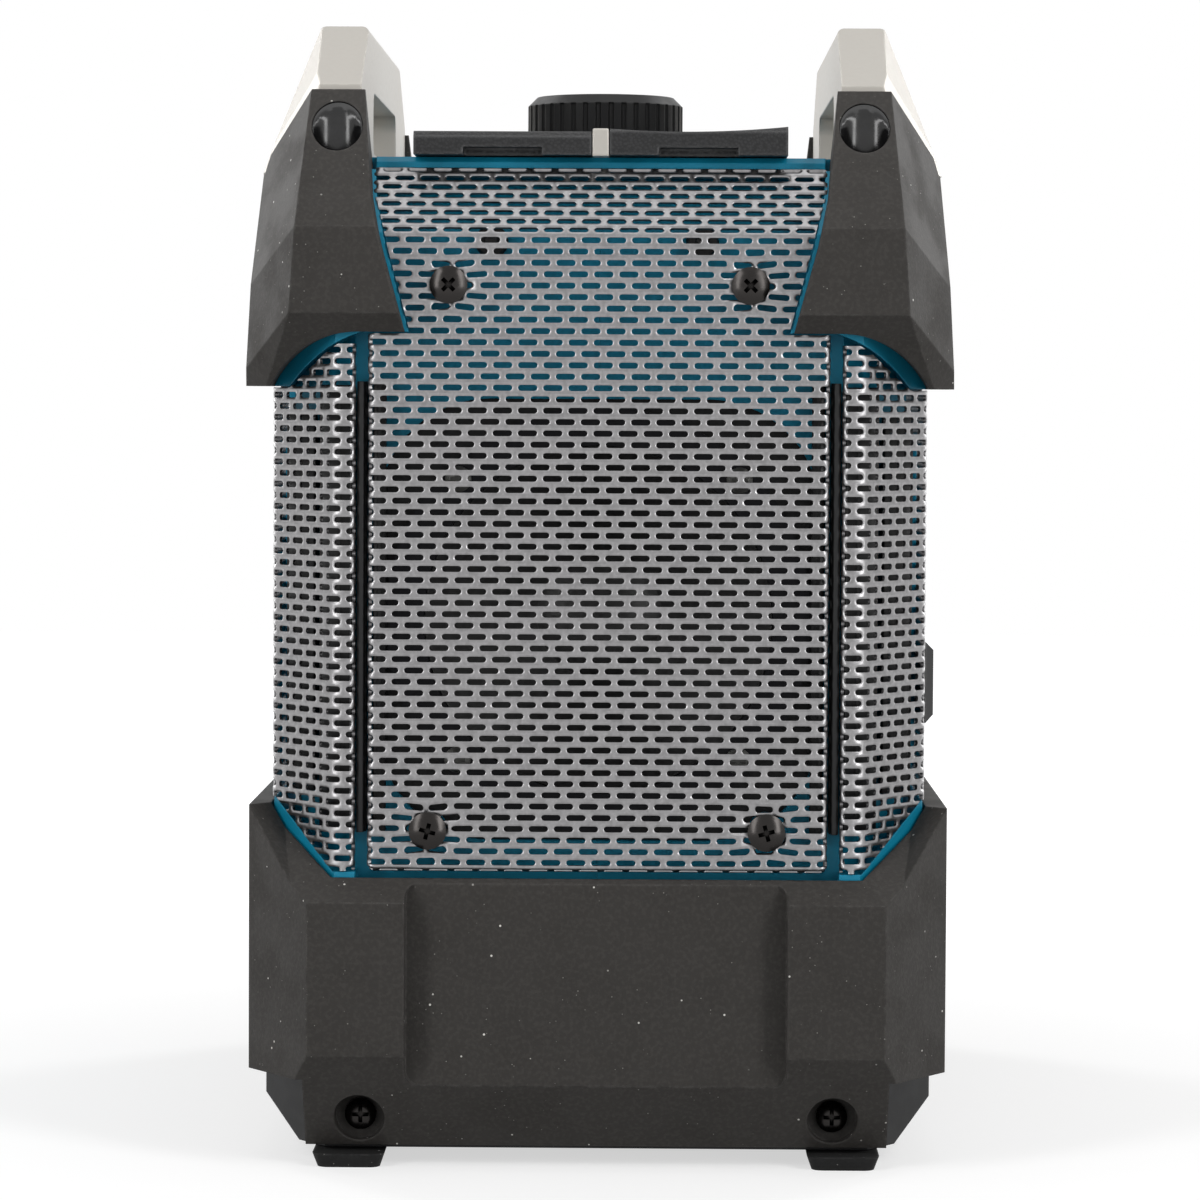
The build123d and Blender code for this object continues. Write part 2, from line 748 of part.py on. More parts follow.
dish_seat = grille_half_length - dish_depth
boss_end = dish_seat - sheet - seat_gap
rib_outer = grille_half_width - sheet - seat_gap
with BuildPart() as body_block:
    add(envelope(shell_half_width, shell_half_length, shell_bottom, shell_top))
    add(corner_pads.part)
    add(ledge.part)
    add(
        envelope(cavity_half_width, cavity_half_length, shell_bottom + shell_wall, shell_top - shell_wall),
        mode=Mode.SUBTRACT,
    )
    with Locations((0, 0, shell_top)):
        Box(
            2 * deck_opening_half_x,
            2 * deck_opening_half_y,
            2 * shell_wall + 1,
            mode=Mode.SUBTRACT,
        )
    # loudspeaker openings through both ends
    with BuildSketch(Plane.XZ):
        with Locations((0, speaker_z)):
            RectangleRounded(speaker_opening, speaker_opening, speaker_opening_radius)
    extrude(amount=overall_length, both=True, mode=Mode.SUBTRACT)
    # battery opening at the rear, reflex port at the front
    with Locations((rear_wall, 0, shell_bottom + bay_low + bay_wall)):
        Box(
            3 * shell_wall,
            2 * (bay_half_width - bay_wall),
            bay_high - bay_low - 2 * bay_wall,
            align=LOW,
            mode=Mode.SUBTRACT,
        )
    with Locations(Plane(origin=(cavity_half_width, 0, speaker_z), z_dir=(1, 0, 0))):
        Cylinder(port_radius + seat_gap, 4 * shell_wall, mode=Mode.SUBTRACT)
    # bosses for the end grilles
    for side_y in (-1, 1):
        for side_x in (-1, 1):
            for boss_x, boss_z in (end_screw_high, end_screw_low):
                boss = Plane(
                    origin=(side_x * boss_x, side_y * boss_end, shell_bottom + boss_z),
                    z_dir=(0, side_y, 0),
                )
                with Locations(boss):
                    Cylinder(boss_radius, boss_end - cavity_half_length, align=HIGH)
                    Cylinder(thread_bore, end_grille_gap + shell_wall, align=HIGH, mode=Mode.SUBTRACT)
    # ribs that back the front and rear grilles
    for side_y in (-1, 1):
        with Locations((0, side_y * rib_y, shell_bottom + (rib_low + rib_high) / 2)):
            with GridLocations(cavity_half_width + rib_outer, 1, 2, 1):
                Box(rib_outer - cavity_half_width, rib_width, rib_high - rib_low)
    # standoffs for the amplifier board
    with Locations(Plane.XY.offset(shell_bottom + shell_wall)):
        with GridLocations(amplifier_hole_x, amplifier_hole_y, 2, 2):
            Cylinder(standoff_radius, standoff_height, align=LOW)
            Cylinder(thread_bore, standoff_height, align=LOW, mode=Mode.SUBTRACT)
    # long bosses that draw the two halves together
    for side_y in (-1, 1):
        for boss_z in (shell_screw_low, shell_screw_high):
            boss = Plane(
                origin=(-shell_half_width, side_y * shell_screw_y, shell_bottom + boss_z),
                z_dir=(-1, 0, 0),
            )
            with Locations(boss):
                Cylinder(shell_boss_radius, 2 * shell_half_width, align=HIGH)
                Cylinder(thread_bore, shell_screw_length + shell_wall, align=HIGH, mode=Mode.SUBTRACT)
    # clips for the aerial on the front wall
    for side_y in (-1, 1):
        with Locations((shell_half_width - 1, side_y * aerial_clip_y, shell_bottom + aerial_z)):
            Box(
                shell_half_width - 1 - aerial_x,
                lug_width,
                2 * (aerial_radius + aerial_clip_wall),
                align=(Align.MAX, Align.CENTER, Align.CENTER),
            )
    with Locations(Plane(origin=(aerial_x, 0, shell_bottom + aerial_z), z_dir=(0, 1, 0))):
        Cylinder(aerial_radius + pin_clearance, aerial_length, mode=Mode.SUBTRACT)
    # lugs for the battery door
    for side_y in (-1, 1):
        with Locations((rear_wall + shell_wall / 2, side_y * door_lug_offset, door_hinge_z)):
            Box(
                door_stand_off + door_thickness / 2 + shell_wall / 2,
                door_lug_width,
                door_thickness,
                align=(Align.MAX, Align.CENTER, Align.CENTER),
            )
        lug = Plane(origin=(door_hinge_x, side_y * door_lug_offset, door_hinge_z), z_dir=(0, 1, 0))
        with Locations(lug):
            Cylinder(door_thickness / 2, door_lug_width)
            Cylinder(pin_radius + pin_clearance, 2 * door_lug_width, mode=Mode.SUBTRACT)

with BuildPart() as front_shell:
    add(body_block.part)
    split(bisect_by=Plane.YZ, keep=Keep.TOP)
save(front_shell, "front_shell")

with BuildPart() as rear_shell:
    add(body_block.part)
    split(bisect_by=Plane.YZ, keep=Keep.BOTTOM)
save(rear_shell, "rear_shell")

with BuildPart() as shell_screws:
    for side_y in (-1, 1):
        for boss_z in (shell_screw_low, shell_screw_high):
            add_screw(
                (-shell_half_width, side_y * shell_screw_y, shell_bottom + boss_z),
                (-1, 0, 0),
                shell_screw_length,
            )
save(shell_screws, "shell_screws")

# ---------------------------------------------------------------- corner bumpers
def pad_room(low):
    """Room for a corner pad inside the front left bumper."""
    with BuildPart() as room:
        add(envelope(pad_half_width + seat_gap, pad_half_length + seat_gap, low, shell_top))
        split(bisect_by=upper_facet(1, -1, bumper_skin), keep=Keep.BOTTOM)
    return room.part


def handle_room():
    """Room for the end of the front handle, inside the thin rim of the front left bumper."""
    behind = (Align.CENTER, Align.MIN, Align.MIN)
    with BuildPart() as room:
        with Locations((0, -(handle_end + seat_gap), shell_top)):
            Box(overall_width + 2, overall_length, handle_rise, align=behind)
        split(bisect_by=handle_flank(-1, seat_gap), keep=Keep.BOTTOM)
        split(bisect_by=upper_facet(1, -1, bumper_skin), keep=Keep.BOTTOM)
        with Locations((0, -bumper_rim_y, shell_top)):
            Box(overall_width + 2, overall_length, handle_rise, align=behind)
    return room.part


def make_bumper():
    """Corner bumper for the front left corner: faceted rubber cap over the corner pad."""
    low = shell_bottom + bumper_side_low
    top = shell_bottom + bumper_top
    crease_high = (bumper_face_high_x, -half_length, shell_bottom + bumper_crease_high)
    crease_low = (bumper_face_x, -half_length, shell_bottom + bumper_crease_low)
    facet_low = (bumper_facet_x, -bumper_facet_y, shell_bottom + bumper_facet_low)
    lip = (bumper_top_x, -bumper_lip_y, top)
    edge_inset = -half_length + bumper_edge_low_inset
    outside = (3 * half_width, -3 * half_length, top)
    below = (half_width, -2 * half_length, 0)
    faces = [
        plane_through(crease_high, (0, -half_length, crease_high[2]), lip, outside),
        plane_through(
            crease_low,
            (0, -half_length, crease_low[2]),
            (0, edge_inset, shell_bottom + bumper_edge_low),
            below,
        ),
        plane_through(crease_high, crease_low, (half_width, -bumper_cut_y, crease_low[2]), outside),
        upper_facet(1, -1, 0),
        plane_through(
            crease_low,
            facet_low,
            (bumper_sweep_mid[0], edge_inset - 4, crease_low[2] - 8),
            below,
        ),
        plane_through(
            lip,
            (bumper_top_x, 0, top),
            (bumper_shoulder_x, 0, shell_bottom + bumper_shoulder_z),
            outside,
        ),
        plane_through(
            (half_width, -half_length, low),
            (half_width, 0, low),
            (bumper_shoulder_x, 0, shell_bottom + bumper_shoulder_z),
            outside,
        ),
    ]
    with BuildPart() as bumper:
        with BuildSketch(Plane.XZ.offset(bumper_back)):
            add(bumper_edge(0, bumper_sweep_mid, bumper_sweep_end))
        extrude(amount=half_length - bumper_back)
        with BuildSketch(Plane.XY.offset(low)):
            Rectangle(2 * half_width, overall_length)
        extrude(amount=top - low, mode=Mode.INTERSECT)
        for face in faces:
            split(bisect_by=face, keep=Keep.BOTTOM)
        add(pad_room(low - seat_gap), mode=Mode.SUBTRACT)
        add(handle_room(), mode=Mode.SUBTRACT)
        well = Plane(
            origin=(bumper_well_x, -handle_end - seat_gap - well_floor, shell_bottom + bumper_well_z),
            z_dir=(0, -1, 0),
        )
        with Locations(well):
            Cylinder(well_radius, half_length, align=LOW, mode=Mode.SUBTRACT)
            Cylinder(thread_bore + slide_gap, end_skin, align=HIGH, mode=Mode.SUBTRACT)
    return bumper.part


bumper_solid = make_bumper()
with BuildPart() as corner_bumper_front_left:
    add(bumper_solid)
save(corner_bumper_front_left, "corner_bumper_front_left")

with BuildPart() as corner_bumper_rear_left:
    mirror(bumper_solid, about=Plane.YZ)
save(corner_bumper_rear_left, "corner_bumper_rear_left")

with BuildPart() as corner_bumper_front_right:
    mirror(bumper_solid, about=Plane.XZ)
save(corner_bumper_front_right, "corner_bumper_front_right")

with BuildPart() as corner_bumper_rear_right:
    mirror(corner_bumper_front_right.part, about=Plane.YZ)
save(corner_bumper_rear_right, "corner_bumper_rear_right")

with BuildPart() as bumper_screws:
    for side_x in (-1, 1):
        for side_y in (-1, 1):
            add_screw(
                (
                    side_x * bumper_well_x,
                    side_y * (handle_end + seat_gap + well_floor),
                    shell_bottom + bumper_well_z,
                ),
                (0, side_y, 0),
                well_floor + bumper_screw_grip,
            )
            add_screw(
                (side_x * boot_well_x, side_y * (toe_inner_y + well_floor), boot_well_z),
                (0, side_y, 0),
                well_floor + boot_screw_grip,
            )
save(bumper_screws, "bumper_screws")


# ---------------------------------------------------------------- handles
def make_handle():
    """Front handle: one loop with a grip window, flaring outwards towards its foot."""
    foot = shell_top + seat_gap
    with BuildPart() as handle:
        with BuildSketch(Plane.YZ.offset(handle_inner)):
            Polygon(
                (-handle_end, foot),
                (-handle_end, shell_top + handle_end_height),
                (-handle_top_half, overall_height),
                (handle_top_half, overall_height),
                (handle_end, shell_top + handle_end_height),
                (handle_end, foot),
                align=None,
            )
            with Locations((0, shell_top + (grip_low + grip_high) / 2)):
                RectangleRounded(2 * grip_half_length, grip_high - grip_low, grip_radius, mode=Mode.SUBTRACT)
        extrude(amount=half_width - handle_inner)
        flare = Plane(
            origin=(handle_outer_top, 0, overall_height),
            z_dir=(handle_flare_drop, 0, handle_flare),
        )
        split(bisect_by=flare, keep=Keep.BOTTOM)
        for side_y in (-1, 1):
            split(bisect_by=handle_flank(side_y, 0), keep=Keep.BOTTOM)
            split(bisect_by=upper_facet(1, side_y, bumper_skin + seat_gap), keep=Keep.BOTTOM)
        top_edges = handle.edges().filter_by(Axis.Y).group_by(Axis.Z)[-1]
        fillet(top_edges, handle_round)
        for side_y in (-1, 1):
            hole = Plane(
                origin=(bumper_well_x, side_y * handle_end, shell_bottom + bumper_well_z),
                z_dir=(0, side_y, 0),
            )
            with Locations(hole):
                Cylinder(thread_bore, bumper_screw_grip + screw_tip_gap, align=HIGH, mode=Mode.SUBTRACT)
    return handle.part


handle_solid = make_handle()
with BuildPart() as handle_front:
    add(handle_solid)
save(handle_front, "handle_front")

with BuildPart() as handle_rear:
    mirror(handle_solid, about=Plane.YZ)
save(handle_rear, "handle_rear")

# ---------------------------------------------------------------- end grilles
grille_z = shell_bottom + grille_low
step_z = shell_bottom + grille_step
grille_top_z = shell_top + grille_top_gap
lean_per_rise = lean_run / lean_rise
with BuildPart() as side_grille_left:
    outer_top_y = -grille_half_length + (grille_top_z - bend_z) * lean_per_rise
    with BuildSketch(Plane.YZ):
        Polygon(
            (-grille_half_length, grille_z),
            (-grille_half_length, bend_z),
            (outer_top_y, grille_top_z),
            (outer_top_y + 1.3 * sheet, grille_top_z),
            (-grille_half_length + sheet, bend_z - 0.4 * sheet),
            (-grille_half_length + sheet, grille_z + sheet),
            (-grille_half_length + grille_return, grille_z + sheet),
            (-grille_half_length + grille_return, grille_z),
            align=None,
        )
    extrude(amount=grille_width_half, both=True)
    # folded sides of the straight part
    for side_x in (-1, 1):
        with Locations((side_x * (grille_width_half - sheet / 2), -grille_half_length, grille_z)):
            Box(sheet, grille_return, step_z - grille_z, align=(Align.CENTER, Align.MIN, Align.MIN))
    # the upper part narrows between the bumpers
    shift = pad_reveal + grille_edge_gap
    for side_x in (-1, 1):
        with BuildSketch(Plane.XZ):
            Polygon(
                (side_x * (bumper_inner_low - shift), step_z),
                (side_x * (bumper_inner_flare - shift), shell_bottom + bumper_inner_flare_z),
                (side_x * (bumper_inner_mid - shift), shell_bottom + bumper_inner_mid_z),
                (side_x * (bumper_inner_top - shift), shell_bottom + bumper_top),
                (side_x * half_width, shell_bottom + bumper_top),
                (side_x * half_width, step_z),
                align=None,
            )
        extrude(amount=half_length, mode=Mode.SUBTRACT)
    for side_x in (-1, 1):
        for hole_x, hole_z in (end_screw_high, end_screw_low):
            hole = Plane(
                origin=(side_x * hole_x, -grille_half_length, shell_bottom + hole_z),
                z_dir=(0, 1, 0),
            )
            with Locations(hole):
                Cylinder(dish_radius, 4 * sheet, mode=Mode.SUBTRACT)
            dish_plane = Plane(origin=hole.origin, x_dir=(1, 0, 0), z_dir=(0, 0, 1))
            with BuildSketch(dish_plane):
                Polygon(
                    (thread_bore + slide_gap, dish_depth),
                    (dish_floor_radius, dish_depth),
                    (dish_radius, 0),
                    (dish_radius, sheet),
                    (dish_floor_radius, dish_depth + sheet),
                    (thread_bore + slide_gap, dish_depth + sheet),
                    align=None,
                )
            revolve(axis=Axis(hole.origin, (0, 1, 0)))
save(side_grille_left, "side_grille_left")

with BuildPart() as side_grille_right:
    mirror(side_grille_left.part, about=Plane.XZ)
save(side_grille_right, "side_grille_right")

with BuildPart() as grille_screws:
    for side_y in (-1, 1):
        for side_x in (-1, 1):
            for (head_x, head_z), turn in zip((end_screw_high, end_screw_low), end_screw_turns):
                add_screw(
                    (side_x * head_x, side_y * dish_seat, shell_bottom + head_z),
                    (0, side_y, 0),
                    end_grille_gap,
                    (grille_head_radius, grille_head_height),
                    side_x * turn,
                )
save(grille_screws, "grille_screws")


# ---------------------------------------------------------------- front and rear grilles
def make_wrapped_grille():
    """Sheet that wraps the long front side and both of its corners."""
    low = shell_bottom + wing_low
    inner_x = grille_half_width - sheet
    inner_y = grille_half_length - sheet
    with BuildPart() as grille:
        with BuildSketch(Plane.XY.offset(low)):
            cut_corner_rectangle(grille_half_width, grille_half_length)
            Polygon(
                (inner_x, inner_y - corner_cut_y),
                (inner_x - corner_cut_x, inner_y),
                (-grille_half_width, inner_y),
                (-grille_half_width, -inner_y),
                (inner_x - corner_cut_x, -inner_y),
                (inner_x, corner_cut_y - inner_y),
                align=None,
                mode=Mode.SUBTRACT,
            )
        extrude(amount=side_grille_top - wing_low)
        split(bisect_by=Plane.YZ.offset(channel_edge), keep=Keep.TOP)
        for side_y in (-1, 1):
            with Locations((channel_edge, side_y * grille_half_length, low)):
                Box(
                    sheet,
                    wing_return,
                    wing_tip - wing_low,
                    align=(Align.MIN, Align.MIN if side_y < 0 else Align.MAX, Align.MIN),
                )
            # cut away above the boot's rim and below the corner bumpers
            with BuildSketch(Plane.XZ):
                below_wrapped_grilles(0)
            extrude(amount=-side_y * half_length, mode=Mode.SUBTRACT)
            with BuildSketch(Plane.XZ.offset(-side_y * side_grille_step)):
                Polygon(
                    (0, shell_bottom + wing_tip),
                    (wing_tip_x, shell_bottom + wing_tip),
                    (pad_sweep_end, shell_bottom + wing_side_top),
                    (half_width, shell_bottom + wing_side_top),
                    (half_width, shell_top),
                    (0, shell_top),
                    align=None,
                )
            extrude(amount=-side_y * half_length, mode=Mode.SUBTRACT)
    return grille.part


wrapped_solid = make_wrapped_grille()
with BuildPart() as front_grille:
    add(wrapped_solid)
save(front_grille, "front_grille")

with BuildPart() as rear_grille_left:
    mirror(wrapped_solid, about=Plane.YZ)
    split(bisect_by=Plane.XZ.offset(rear_grille_inner), keep=Keep.TOP)
    with Locations((-grille_half_width, -rear_grille_inner, shell_bottom + wing_side_low)):
        Box(wing_return, sheet, side_grille_top - wing_side_low, align=(Align.MIN, Align.MAX, Align.MIN))
save(rear_grille_left, "rear_grille_left")

with BuildPart() as rear_grille_right:
    mirror(rear_grille_left.part, about=Plane.XZ)
save(rear_grille_right, "rear_grille_right")

with BuildPart() as badge_plate:
    with BuildSketch(Plane.YZ.offset(grille_half_width)):
        with Locations((badge_y, shell_bottom + badge_z)):
            Rectangle(badge_length, badge_height)
    extrude(amount=badge_depth)
    chamfer(badge_plate.faces().sort_by(Axis.X)[-1].edges(), badge_chamfer)
save(badge_plate, "badge_plate")


# ---------------------------------------------------------------- loudspeakers
def speaker_plane():
    """Half plane for turned parts: local X runs along Y, local Y is the distance from the axis."""
    return Plane(origin=(0, 0, speaker_z), x_dir=(0, 1, 0), z_dir=(1, 0, 0))


speaker_axis = Axis((0, 0, speaker_z), (0, 1, 0))
flange_back = -cavity_half_length - seat_gap
flange_front = flange_back - flange_thickness
basket_back = flange_back + basket_depth + basket_cup
with BuildPart() as baffles:
    baffle_front = flange_back + 2 * seat_gap
    baffle_face = Plane(origin=(0, baffle_front, speaker_z), x_dir=(1, 0, 0), z_dir=(0, 1, 0))
    with BuildSketch(baffle_face):
        Rectangle(baffle_width, baffle_height)
        Circle(basket_radius + baffle_gap, mode=Mode.SUBTRACT)
        with GridLocations(2 * speaker_screw_offset, 2 * speaker_screw_offset, 2, 2):
            Circle(thread_bore, mode=Mode.SUBTRACT)
    extrude(amount=baffle_thickness)
    mirror(about=Plane.XZ)
save(baffles, "baffles")

with BuildPart() as speaker_frames:
    with BuildSketch(speaker_plane()):
        Polygon(
            (flange_front, cone_radius + seat_gap),
            (flange_front, flange_radius),
            (flange_back, flange_radius),
            (flange_back, basket_radius),
            (flange_back + basket_depth, basket_back_radius),
            (basket_back, basket_back_radius),
            (basket_back, voice_radius),
            (basket_back - basket_wall, voice_radius),
            (basket_back - basket_wall, basket_back_radius - basket_wall),
            (flange_back + basket_depth - basket_wall / 2, basket_back_radius - basket_wall),
            (flange_back + basket_wall / 2, cone_radius + seat_gap),
            align=None,
        )
    revolve(axis=speaker_axis)
    with Locations(Plane(origin=(0, flange_back, speaker_z), x_dir=(1, 0, 0), z_dir=(0, 1, 0))):
        with GridLocations(2 * speaker_screw_offset, 2 * speaker_screw_offset, 2, 2):
            Cylinder(thread_bore + seat_gap, 4 * flange_thickness, mode=Mode.SUBTRACT)
    mirror(about=Plane.XZ)
save(speaker_frames, "speaker_frames")

cone_front = flange_front + cone_thickness
dome_radius = (voice_radius**2 + dome_rise**2) / (2 * dome_rise)
dome_top = cone_front + cone_depth - 2 * cone_thickness - dome_rise
dome_middle = dome_top + dome_radius - sqrt(dome_radius**2 - voice_radius**2 / 4)
with BuildPart() as speaker_cones:
    with BuildSketch(speaker_plane()):
        with BuildLine():
            outer = Polyline(
                (cone_front + cone_depth + cone_thickness, 0),
                (cone_front + cone_depth + cone_thickness, voice_radius - seat_gap),
                (cone_front + cone_thickness, cone_radius),
                (cone_front, cone_radius),
                (cone_front + cone_depth - 2 * cone_thickness, voice_radius),
            )
            ThreePointArc(outer @ 1, (dome_middle, voice_radius / 2), (dome_top, 0))
            Line((dome_top, 0), outer @ 0)
        make_face()
    revolve(axis=speaker_axis)
    mirror(about=Plane.XZ)
save(speaker_cones, "speaker_cones")

with BuildPart() as speaker_magnets:
    with Locations(Plane(origin=(0, basket_back + seat_gap, speaker_z), z_dir=(0, 1, 0))):
        Cylinder(magnet_radius, magnet_thickness, align=LOW)
    fillet(speaker_magnets.edges().filter_by(GeomType.CIRCLE), magnet_round)
    mirror(about=Plane.XZ)
save(speaker_magnets, "speaker_magnets")

with BuildPart() as board_screws:
    for side_x in (-1, 1):
        for side_y in (-1, 1):
            for side_z in (-1, 1):
                add_board_screw(
                    (
                        side_x * speaker_screw_offset,
                        -side_y * flange_front,
                        speaker_z + side_z * speaker_screw_offset,
                    ),
                    (0, side_y, 0),
                )
            add_board_screw(
                (
                    side_x * amplifier_hole_x / 2,
                    side_y * amplifier_hole_y / 2,
                    amplifier_z + board_thickness,
                ),
                (0, 0, 1),
            )
    for post_x, post_y in control_posts:
        add_board_screw((post_x, post_y, board_top - board_thickness), (0, 0, -1))
save(board_screws, "board_screws")

with BuildPart() as reflex_port:
    with Locations(Plane(origin=(shell_half_width, 0, speaker_z), z_dir=(-1, 0, 0))):
        Cylinder(port_radius, port_length, align=LOW)
        Cylinder(port_radius + port_lip, sheet, align=HIGH)
        Cylinder(port_radius - port_wall, 3 * port_length, mode=Mode.SUBTRACT)
save(reflex_port, "reflex_port")

# ---------------------------------------------------------------- deck
with BuildPart() as top_deck:
    with BuildSketch(Plane.XY.offset(shell_top)):
        Rectangle(2 * deck_half_width, 2 * (deck_half_length - deck_nose_length))
        Rectangle(2 * deck_nose_half_width, 2 * deck_half_length)
    extrude(amount=deck_thickness)
    end_edges = top_deck.faces().sort_by(Axis.Z)[-1].edges().filter_by(Axis.X)
    chamfer(end_edges.group_by(Axis.Y)[0] + end_edges.group_by(Axis.Y)[-1], slab_chamfer)
    # openings for the wells, the display, the keys and the encoder
    for side_x in (-1, 1):
        with Locations((side_x * slab_x, well_y, shell_top)):
            Box(
                well_width + seat_gap,
                well_length + seat_gap,
                3 * deck_thickness,
                mode=Mode.SUBTRACT,
            )
    with Locations((-slab_x, display_y, shell_top)):
        Box(
            display_width + display_opening_gap,
            display_length + display_opening_gap,
            3 * deck_thickness,
            mode=Mode.SUBTRACT,
        )
    with Locations((slab_x, key_y, shell_top)):
        with GridLocations(key_pitch_x, key_pitch_y, 2, 3):
            Cylinder(switch_size, 3 * deck_thickness, mode=Mode.SUBTRACT)
    with Locations((0, 0, shell_top)):
        Box(
            encoder_size + display_opening_gap,
            encoder_size + display_opening_gap,
            3 * deck_thickness,
            mode=Mode.SUBTRACT,
        )
    # posts that carry the control board
    for post_x, post_y in control_posts:
        with Locations((post_x, post_y, board_top)):
            Cylinder(standoff_radius, control_board_drop, align=LOW)
            Cylinder(thread_bore, control_board_drop, align=LOW, mode=Mode.SUBTRACT)
    # hinge lugs of the two covers
    for side_x in (-1, 1):
        for side_lug in (-1, 1):
            lug_x = side_x * slab_x + side_lug * lug_offset
            with Locations((lug_x, hinge_y, deck_top)):
                Box(lug_width, slab_thickness, hinge_z - deck_top, align=LOW)
            with Locations(Plane(origin=(lug_x, hinge_y, hinge_z), z_dir=(1, 0, 0))):
                Cylinder(hinge_radius, lug_width)
                Cylinder(pin_radius + pin_clearance, 2 * lug_width, mode=Mode.SUBTRACT)
save(top_deck, "top_deck")

with BuildPart() as deck_trim:
    with BuildSketch(Plane.XY.offset(deck_top)):
        Rectangle(2 * trim_half_width, 2 * slab_end)
        Circle(trim_ring_inner + trim_ring_wall)
        Circle(trim_ring_inner, mode=Mode.SUBTRACT)
    extrude(amount=trim_height)
    fillet(deck_trim.faces().sort_by(Axis.Z)[-1].edges(), trim_round)
save(deck_trim, "deck_trim")


# ---------------------------------------------------------------- the two hinged covers
def make_cover(side_x, rise):
    """Hinged cover on the deck, with a full-round hinge end and a finger notch at the free end.

    With a rise its top is dished: it stands that much higher at its outer edge.
    """
    top_z = slab_top + rise
    with BuildPart() as cover:
        with BuildSketch(Plane.YZ.offset(side_x * slab_x)):
            with BuildLine():
                body = Polyline(
                    (hinge_y, top_z),
                    (slab_chamfer - slab_end, top_z),
                    (-slab_end, top_z - slab_chamfer),
                    (-slab_end, slab_bottom),
                    (hinge_y, slab_bottom),
                )
                nose = ThreePointArc(
                    body @ 1,
                    (hinge_y + hinge_radius, hinge_z),
                    (hinge_y, slab_top),
                )
                if rise > 0:
                    Line(nose @ 1, body @ 0)
            make_face()
        extrude(amount=slab_width / 2, both=True)
        # finger notch under the free end
        with Locations((side_x * slab_x, -slab_end, slab_bottom)):
            Box(
                notch_width,
                2 * notch_depth,
                2 * notch_height,
                mode=Mode.SUBTRACT,
            )
        if rise > 0:
            dish_run = slab_inner + slab_width - dish_low_x
            dish_radius = (dish_run**2 + rise**2) / (2 * rise)
            dish = Plane(origin=(side_x * dish_low_x, 0, slab_top + dish_radius), z_dir=(0, 1, 0))
            with Locations(dish):
                Cylinder(dish_radius, 3 * slab_end, mode=Mode.SUBTRACT)
        # room for the hinge lugs
        for side_lug in (-1, 1):
            with Locations((side_x * slab_x + side_lug * lug_offset, hinge_y, hinge_z)):
                Box(
                    lug_width + 2 * slide_gap,
                    2 * (hinge_radius + slide_gap),
                    2 * slab_thickness,
                    mode=Mode.SUBTRACT,
                )
        with Locations(Plane(origin=(side_x * slab_x, hinge_y, hinge_z), z_dir=(1, 0, 0))):
            Cylinder(pin_radius + pin_clearance, slab_width + 1, mode=Mode.SUBTRACT)
    return cover.part


with BuildPart() as input_cover:
    add(make_cover(-1, 0))
save(input_cover, "input_cover")

with BuildPart() as accessory_cover:
    add(make_cover(1, dish_rise))
save(accessory_cover, "accessory_cover")

with BuildPart() as hinge_pins:
    for side_x in (-1, 1):
        with Locations(Plane(origin=(side_x * slab_x, hinge_y, hinge_z), z_dir=(1, 0, 0))):
            Cylinder(pin_radius, slab_width)
    with Locations(Plane(origin=(door_hinge_x, 0, door_hinge_z), z_dir=(0, 1, 0))):
        Cylinder(pin_radius, 2 * door_half_width)
save(hinge_pins, "hinge_pins")


def make_well(side_x):
    """Open box let into the deck under one of the covers."""
    with BuildPart() as well:
        with Locations((side_x * slab_x, well_y, deck_top)):
            Box(well_width, well_length, well_depth, align=HIGH)
        with Locations((side_x * slab_x, well_y, deck_top + 1)):
            Box(
                well_width - 2 * well_wall,
                well_length - 2 * well_wall,
                well_depth - well_wall + 1,
                align=HIGH,
                mode=Mode.SUBTRACT,
            )
    return well.part


well_floor_z = deck_top - well_depth + well_wall
usb_place = (-slab_x, well_y + usb_shift)
audio_place = (-slab_x - jack_shift, well_y - jack_shift)
inlet_place = (-slab_x + jack_shift, well_y - jack_shift)
with BuildPart() as input_well:
    add(make_well(-1))
    with Locations((*usb_place, well_floor_z)):
        Box(usb_width + seat_gap, usb_length + seat_gap, 3 * well_wall, mode=Mode.SUBTRACT)
    with Locations((*audio_place, well_floor_z), (*inlet_place, well_floor_z)):
        Cylinder(jack_radius + seat_gap, 3 * well_wall, mode=Mode.SUBTRACT)
save(input_well, "input_well")

with BuildPart() as accessory_tray:
    add(make_well(1))
save(accessory_tray, "accessory_tray")

socket_top = well_floor_z + socket_proud
with BuildPart() as usb_socket:
    with Locations((*usb_place, socket_top)):
        Box(usb_width, usb_length, socket_height, align=HIGH)
        Box(usb_width - 2, usb_length - 2, 2 * socket_height - 2, mode=Mode.SUBTRACT)
    with Locations((*usb_place, socket_top - socket_height + 1)):
        Box(usb_width - 4, 1.6, socket_height - 3, align=LOW)
save(usb_socket, "usb_socket")

with BuildPart() as audio_jack:
    with Locations((*audio_place, socket_top)):
        Cylinder(jack_radius, socket_height, align=HIGH)
        Cylinder(audio_bore, 2 * socket_height - 2, mode=Mode.SUBTRACT)
save(audio_jack, "audio_jack")

with BuildPart() as power_inlet:
    with Locations((*inlet_place, socket_top)):
        Cylinder(jack_radius, socket_height, align=HIGH)
        Cylinder(inlet_bore, 2 * socket_height - 2, mode=Mode.SUBTRACT)
    with Locations((*inlet_place, socket_top - socket_height + 1)):
        Cylinder(inlet_pin, socket_height - 2, align=LOW)
save(power_inlet, "power_inlet")

